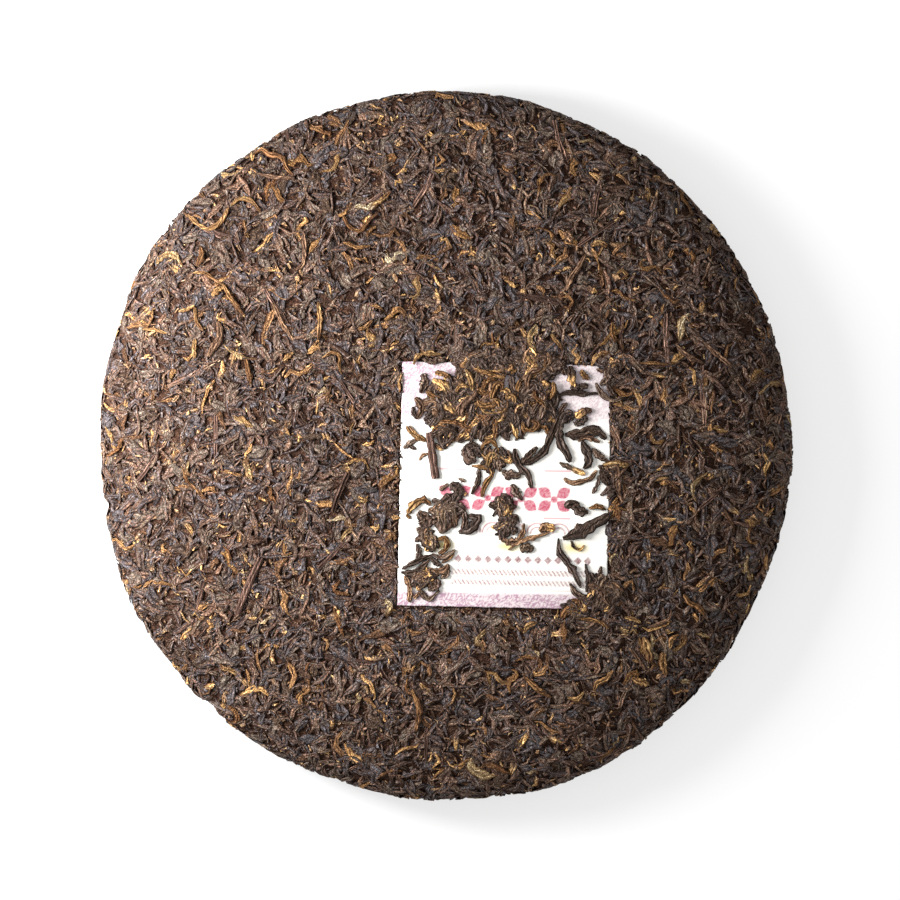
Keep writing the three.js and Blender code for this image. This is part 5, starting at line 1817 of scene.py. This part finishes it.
@dataclass
class LooseLeaves:
    """The leaves that lie on the ticket, those that lap over its edges, and those that stand out on the cake."""

    form: CakeForm
    place: TicketPlace
    shift: np.ndarray
    seed: int = 77
    rings: int = 12
    heap_leaf_length: tuple[float, float] = (5.0, 11.0)
    heap_leaf_width: tuple[float, float] = (1.6, 3.0)
    materials: dict[TeaLook, bpy.types.Material] = field(default_factory=dict)

    def build(self) -> None:
        """Builds the loose leaves, one piece for each look and place."""
        rng = np.random.default_rng(self.seed)
        for look in (DARK, TAN, GOLD, TWIG):
            self.materials[look] = bpy.data.materials.get(look.value.name) or look.value.material()
        on_ticket = {look: self.laid(TICKET_LEAVES, look, self.place, rng) for look in (DARK, TAN, GOLD, TWIG)}
        for heap in HEAPS:
            for look, count in ((DARK, heap.dark), (TAN, heap.tan), (GOLD, heap.gold)):
                self.add(on_ticket, look, self.heaped(heap, look, count, rng))
        self.show_all("ticket", on_ticket, Node.TICKET)
        wrap = Wrap(self.form, from_below=False)
        on_cake = {look: self.laid(CAKE_LEAVES, look, wrap, rng) for look in (DARK, TAN, GOLD, TWIG)}
        for heap in EDGE_HEAPS:
            for look, count in ((DARK, heap.dark), (TAN, heap.tan), (GOLD, heap.gold)):
                self.add(on_cake, look, self.heaped(heap, look, count, rng))
        self.show_all("laid", on_cake, Node.CAKE)

    def add(self, batches: dict[TeaLook, LeafBatch | None], look: TeaLook, batch: LeafBatch | None) -> None:
        """Adds a batch to the others of its look."""
        known = batches.get(look)
        batches[look] = batch if known is None else known.joined(batch) if batch is not None else known

    def show_all(self, prefix: str, batches: dict[TeaLook, LeafBatch | None], node: Node) -> None:
        """Shows each look's leaves as one piece."""
        for look, batch in batches.items():
            if batch is not None:
                name = f"{prefix}_{look.name.lower()}_leaves"
                place_piece(name, batch.mesh(name, self.shift), self.materials[look], node)

    def laid(
        self, leaves: tuple[LaidLeaf, ...], look: TeaLook, place: TicketPlace | Wrap, rng: np.random.Generator
    ) -> LeafBatch | None:
        """Builds the listed leaves of one look.

        Args:
            leaves: all the listed leaves
            look: the look to build
            place: what they lie on
            rng: the source of their irregular skin

        Returns:
            The leaves, or nothing where none has the look.
        """
        chosen = [leaf for leaf in leaves if leaf.look is look]
        if not chosen:
            return None
        paths = smooth_lines([np.array(leaf.line) for leaf in chosen], self.rings)
        widths = np.array([leaf.width for leaf in chosen])
        lifts = np.array([leaf.lift for leaf in chosen])
        return self.leaves_on(paths, widths, lifts, place, rng, look)

    def leaves_on(
        self,
        paths: np.ndarray,
        widths: np.ndarray,
        lifts: np.ndarray,
        place: TicketPlace | Wrap,
        rng: np.random.Generator,
        look: TeaLook,
    ) -> LeafBatch:
        """Sweeps leaves along lines and lays them down.

        Args:
            paths: leaves by stations, each a flat point
            widths: each leaf's width
            lifts: how high each leaf's underside lies
            place: what they lie on
            rng: the source of their irregular skin
            look: the look that sets how blunt the ends are

        Returns:
            The leaves.
        """
        count = len(paths)
        along = np.linspace(0.0, 1.0, self.rings)
        blunt, rough = (0.9, 0.05) if look is TWIG else (0.35, 0.14)
        swell = blunt + (1.0 - blunt) * np.sin(math.pi * along) ** 0.6
        pinch = np.clip(rng.normal(1.0, rough, (count, self.rings)), 0.65, 1.4)
        half_widths = widths[:, None] / 2.0 * swell * pinch
        half_heights = np.minimum(half_widths * 0.6, 0.65)
        twists = rng.normal(0.0, 0.25, (count, 1)) + rng.normal(0.0, 0.4, (count, 1)) * (along - 0.5)
        flat, lift = swept(paths, half_widths, half_heights, twists, ROLLED_CUT, rough, rng)
        lift = lift + (0.7 * lifts[:, None] + half_heights * 0.3)[..., None]
        tones = rng.uniform(0.0, 0.7, count)
        marks = leaf_marks(tones, rng.uniform(size=count), along, ROLLED_CUT)
        lengths = np.linalg.norm(np.diff(paths, axis=1), axis=-1).sum(axis=1)
        grain = leaf_grain(lengths, widths, along, ROLLED_CUT, rng)
        return LeafBatch(place.place(flat, np.maximum(lift, 0.02)), marks, grain)

    def heaped(self, heap: Heap, look: TeaLook, count: int, rng: np.random.Generator) -> LeafBatch | None:
        """Piles leaves up in a heap on the ticket.

        Args:
            heap: where and how large
            look: their look
            count: how many
            rng: the source of their places and bends

        Returns:
            The leaves, or nothing where there are none.
        """
        if count == 0:
            return None
        along = np.linspace(0.0, 1.0, self.rings)
        out = np.sqrt(rng.uniform(size=count))
        angle = rng.uniform(0.0, math.tau, count)
        long = np.minimum(rng.uniform(*self.heap_leaf_length, count), 1.7 * max(heap.long, heap.wide))
        room = np.maximum(1.0 - 0.3 * long / max(heap.long, heap.wide), 0.3)
        u, v = heap.long * out * room * np.cos(angle), heap.wide * out * room * np.sin(angle)
        cos, sin = math.cos(math.radians(heap.turn)), math.sin(math.radians(heap.turn))
        middles = np.stack([heap.x + u * cos - v * sin, heap.y + u * sin + v * cos], axis=-1)
        turns = rng.uniform(0.0, math.tau, (count, 1))
        curl = rng.normal(0.0, 2.2 if look is GOLD else 1.3, (count, 1))
        heading = turns + curl * (along[1:] - 0.5) + 0.4 * np.sin(math.tau * along[1:] + turns)
        steps = np.stack([np.cos(heading), np.sin(heading)], axis=-1) * (long / (self.rings - 1))[:, None, None]
        paths = np.concatenate([np.zeros((count, 1, 2)), np.cumsum(steps, axis=1)], axis=1)
        paths = paths - paths.mean(axis=1, keepdims=True) + middles[:, None, :]
        widths = rng.uniform(*self.heap_leaf_width, count)
        lifts = heap.tall * np.maximum(1.0 - out**2, 0.0) * rng.uniform(0.1, 0.75, count) + 0.1
        if look is GOLD:
            lifts = lifts + 0.25
        return self.leaves_on(paths, widths, lifts, self.place, rng, look)


@dataclass
class Studio:
    """A plain pale floor, one large soft light from the left, a bright room and the camera overhead."""

    floor_half: float = 1.6
    floor_colour: str = "#8c8c8c"
    floor_glow: float = 0.65
    key_size: float = 0.12
    key_distance: float = 0.24
    key_elevation: float = 34.0
    key_azimuth: float = 168.0
    key_power: float = 2.45
    room_strength: float = 0.82
    camera_x: float = 1.14
    camera_y: float = -1.2
    camera_height: float = 1000.0
    seen_width: float = 256.2
    seen_level: float = 9.5
    sensor: float = 36.0

    def build(self) -> None:
        """Builds the floor, the light, the room and the camera."""
        self.floor()
        self.light()
        self.room()
        self.camera()
        bpy.context.scene.view_settings.view_transform = "Standard"

    def floor(self) -> None:
        """Lays a matt white table under the cake, lit softly from within."""
        work = bmesh.new()
        bmesh.ops.create_grid(work, x_segments=1, y_segments=1, size=self.floor_half)
        mesh = bpy.data.meshes.new("floor")
        work.to_mesh(mesh)
        work.free()
        material, tree, output = new_material("matt_white_card")
        shader = add_node(
            tree,
            "ShaderNodeBsdfPrincipled",
            inputs={
                "Base Color": linear(self.floor_colour),
                "Roughness": 0.9,
                "Specular IOR Level": 0.2,
                "Emission Color": (1.0, 1.0, 1.0, 1.0),
                "Emission Strength": self.floor_glow,
            },
        )
        tree.links.new(shader.outputs[0], output.inputs["Surface"])
        mesh.materials.append(material)
        floor = bpy.data.objects.new("floor", mesh)
        bpy.context.scene.collection.objects.link(floor)

    def light(self) -> None:
        """Hangs a large softbox on the left, a little beyond the cake."""
        box = bpy.data.lights.new("key", "AREA")
        box.size = self.key_size
        box.energy = self.key_power
        key = bpy.data.objects.new("key", box)
        azimuth, elevation = math.radians(self.key_azimuth), math.radians(self.key_elevation)
        toward = Vector(
            (math.cos(azimuth) * math.cos(elevation), math.sin(azimuth) * math.cos(elevation), math.sin(elevation))
        )
        key.location = toward * self.key_distance
        key.rotation_euler = (-toward).to_track_quat("-Z", "Y").to_euler()
        key.visible_camera = False
        bpy.context.scene.collection.objects.link(key)

    def room(self) -> None:
        """Fills the room with an even pale light."""
        world = bpy.data.worlds.new("room")
        world.use_nodes = True
        world.node_tree.nodes.clear()
        sky = add_node(
            world.node_tree,
            "ShaderNodeBackground",
            inputs={"Color": (1.0, 1.0, 1.0, 1.0), "Strength": self.room_strength},
        )
        add_node(world.node_tree, "ShaderNodeOutputWorld", inputs={"Surface": sky.outputs[0]})
        bpy.context.scene.world = world

    def camera(self) -> None:
        """Sets the camera straight above, with the photograph's framing."""
        lens = bpy.data.cameras.new("overhead")
        lens.sensor_width = self.sensor
        lens.lens = self.sensor * (self.camera_height - self.seen_level) / self.seen_width
        camera = bpy.data.objects.new("overhead", lens)
        camera.location = Vector((self.camera_x, self.camera_y, self.camera_height)) * METRES
        bpy.context.scene.collection.objects.link(camera)
        bpy.context.scene.camera = camera


def main() -> None:
    """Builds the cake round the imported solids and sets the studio."""
    logging.basicConfig(level=logging.INFO, format="%(message)s")
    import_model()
    form = CakeForm()
    ticket = TicketPlace(form)
    low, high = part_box(Node.TICKET.value)
    middle = (Vector(low) + Vector(high)) / 2.0 / METRES
    shift = np.array([middle.x - ticket.middle_x, middle.y - ticket.middle_y, 0.0])
    LOG.info("cake's middle at %.3f, %.3f mm", shift[0], shift[1])
    PressedMass(form, ticket, shift).build()
    LeafMat(form, ticket, shift).build()
    TicketSheet(ticket, shift).build()
    LooseLeaves(form, ticket, shift).build()
    Studio().build()


if __name__ == "__main__":
    main()
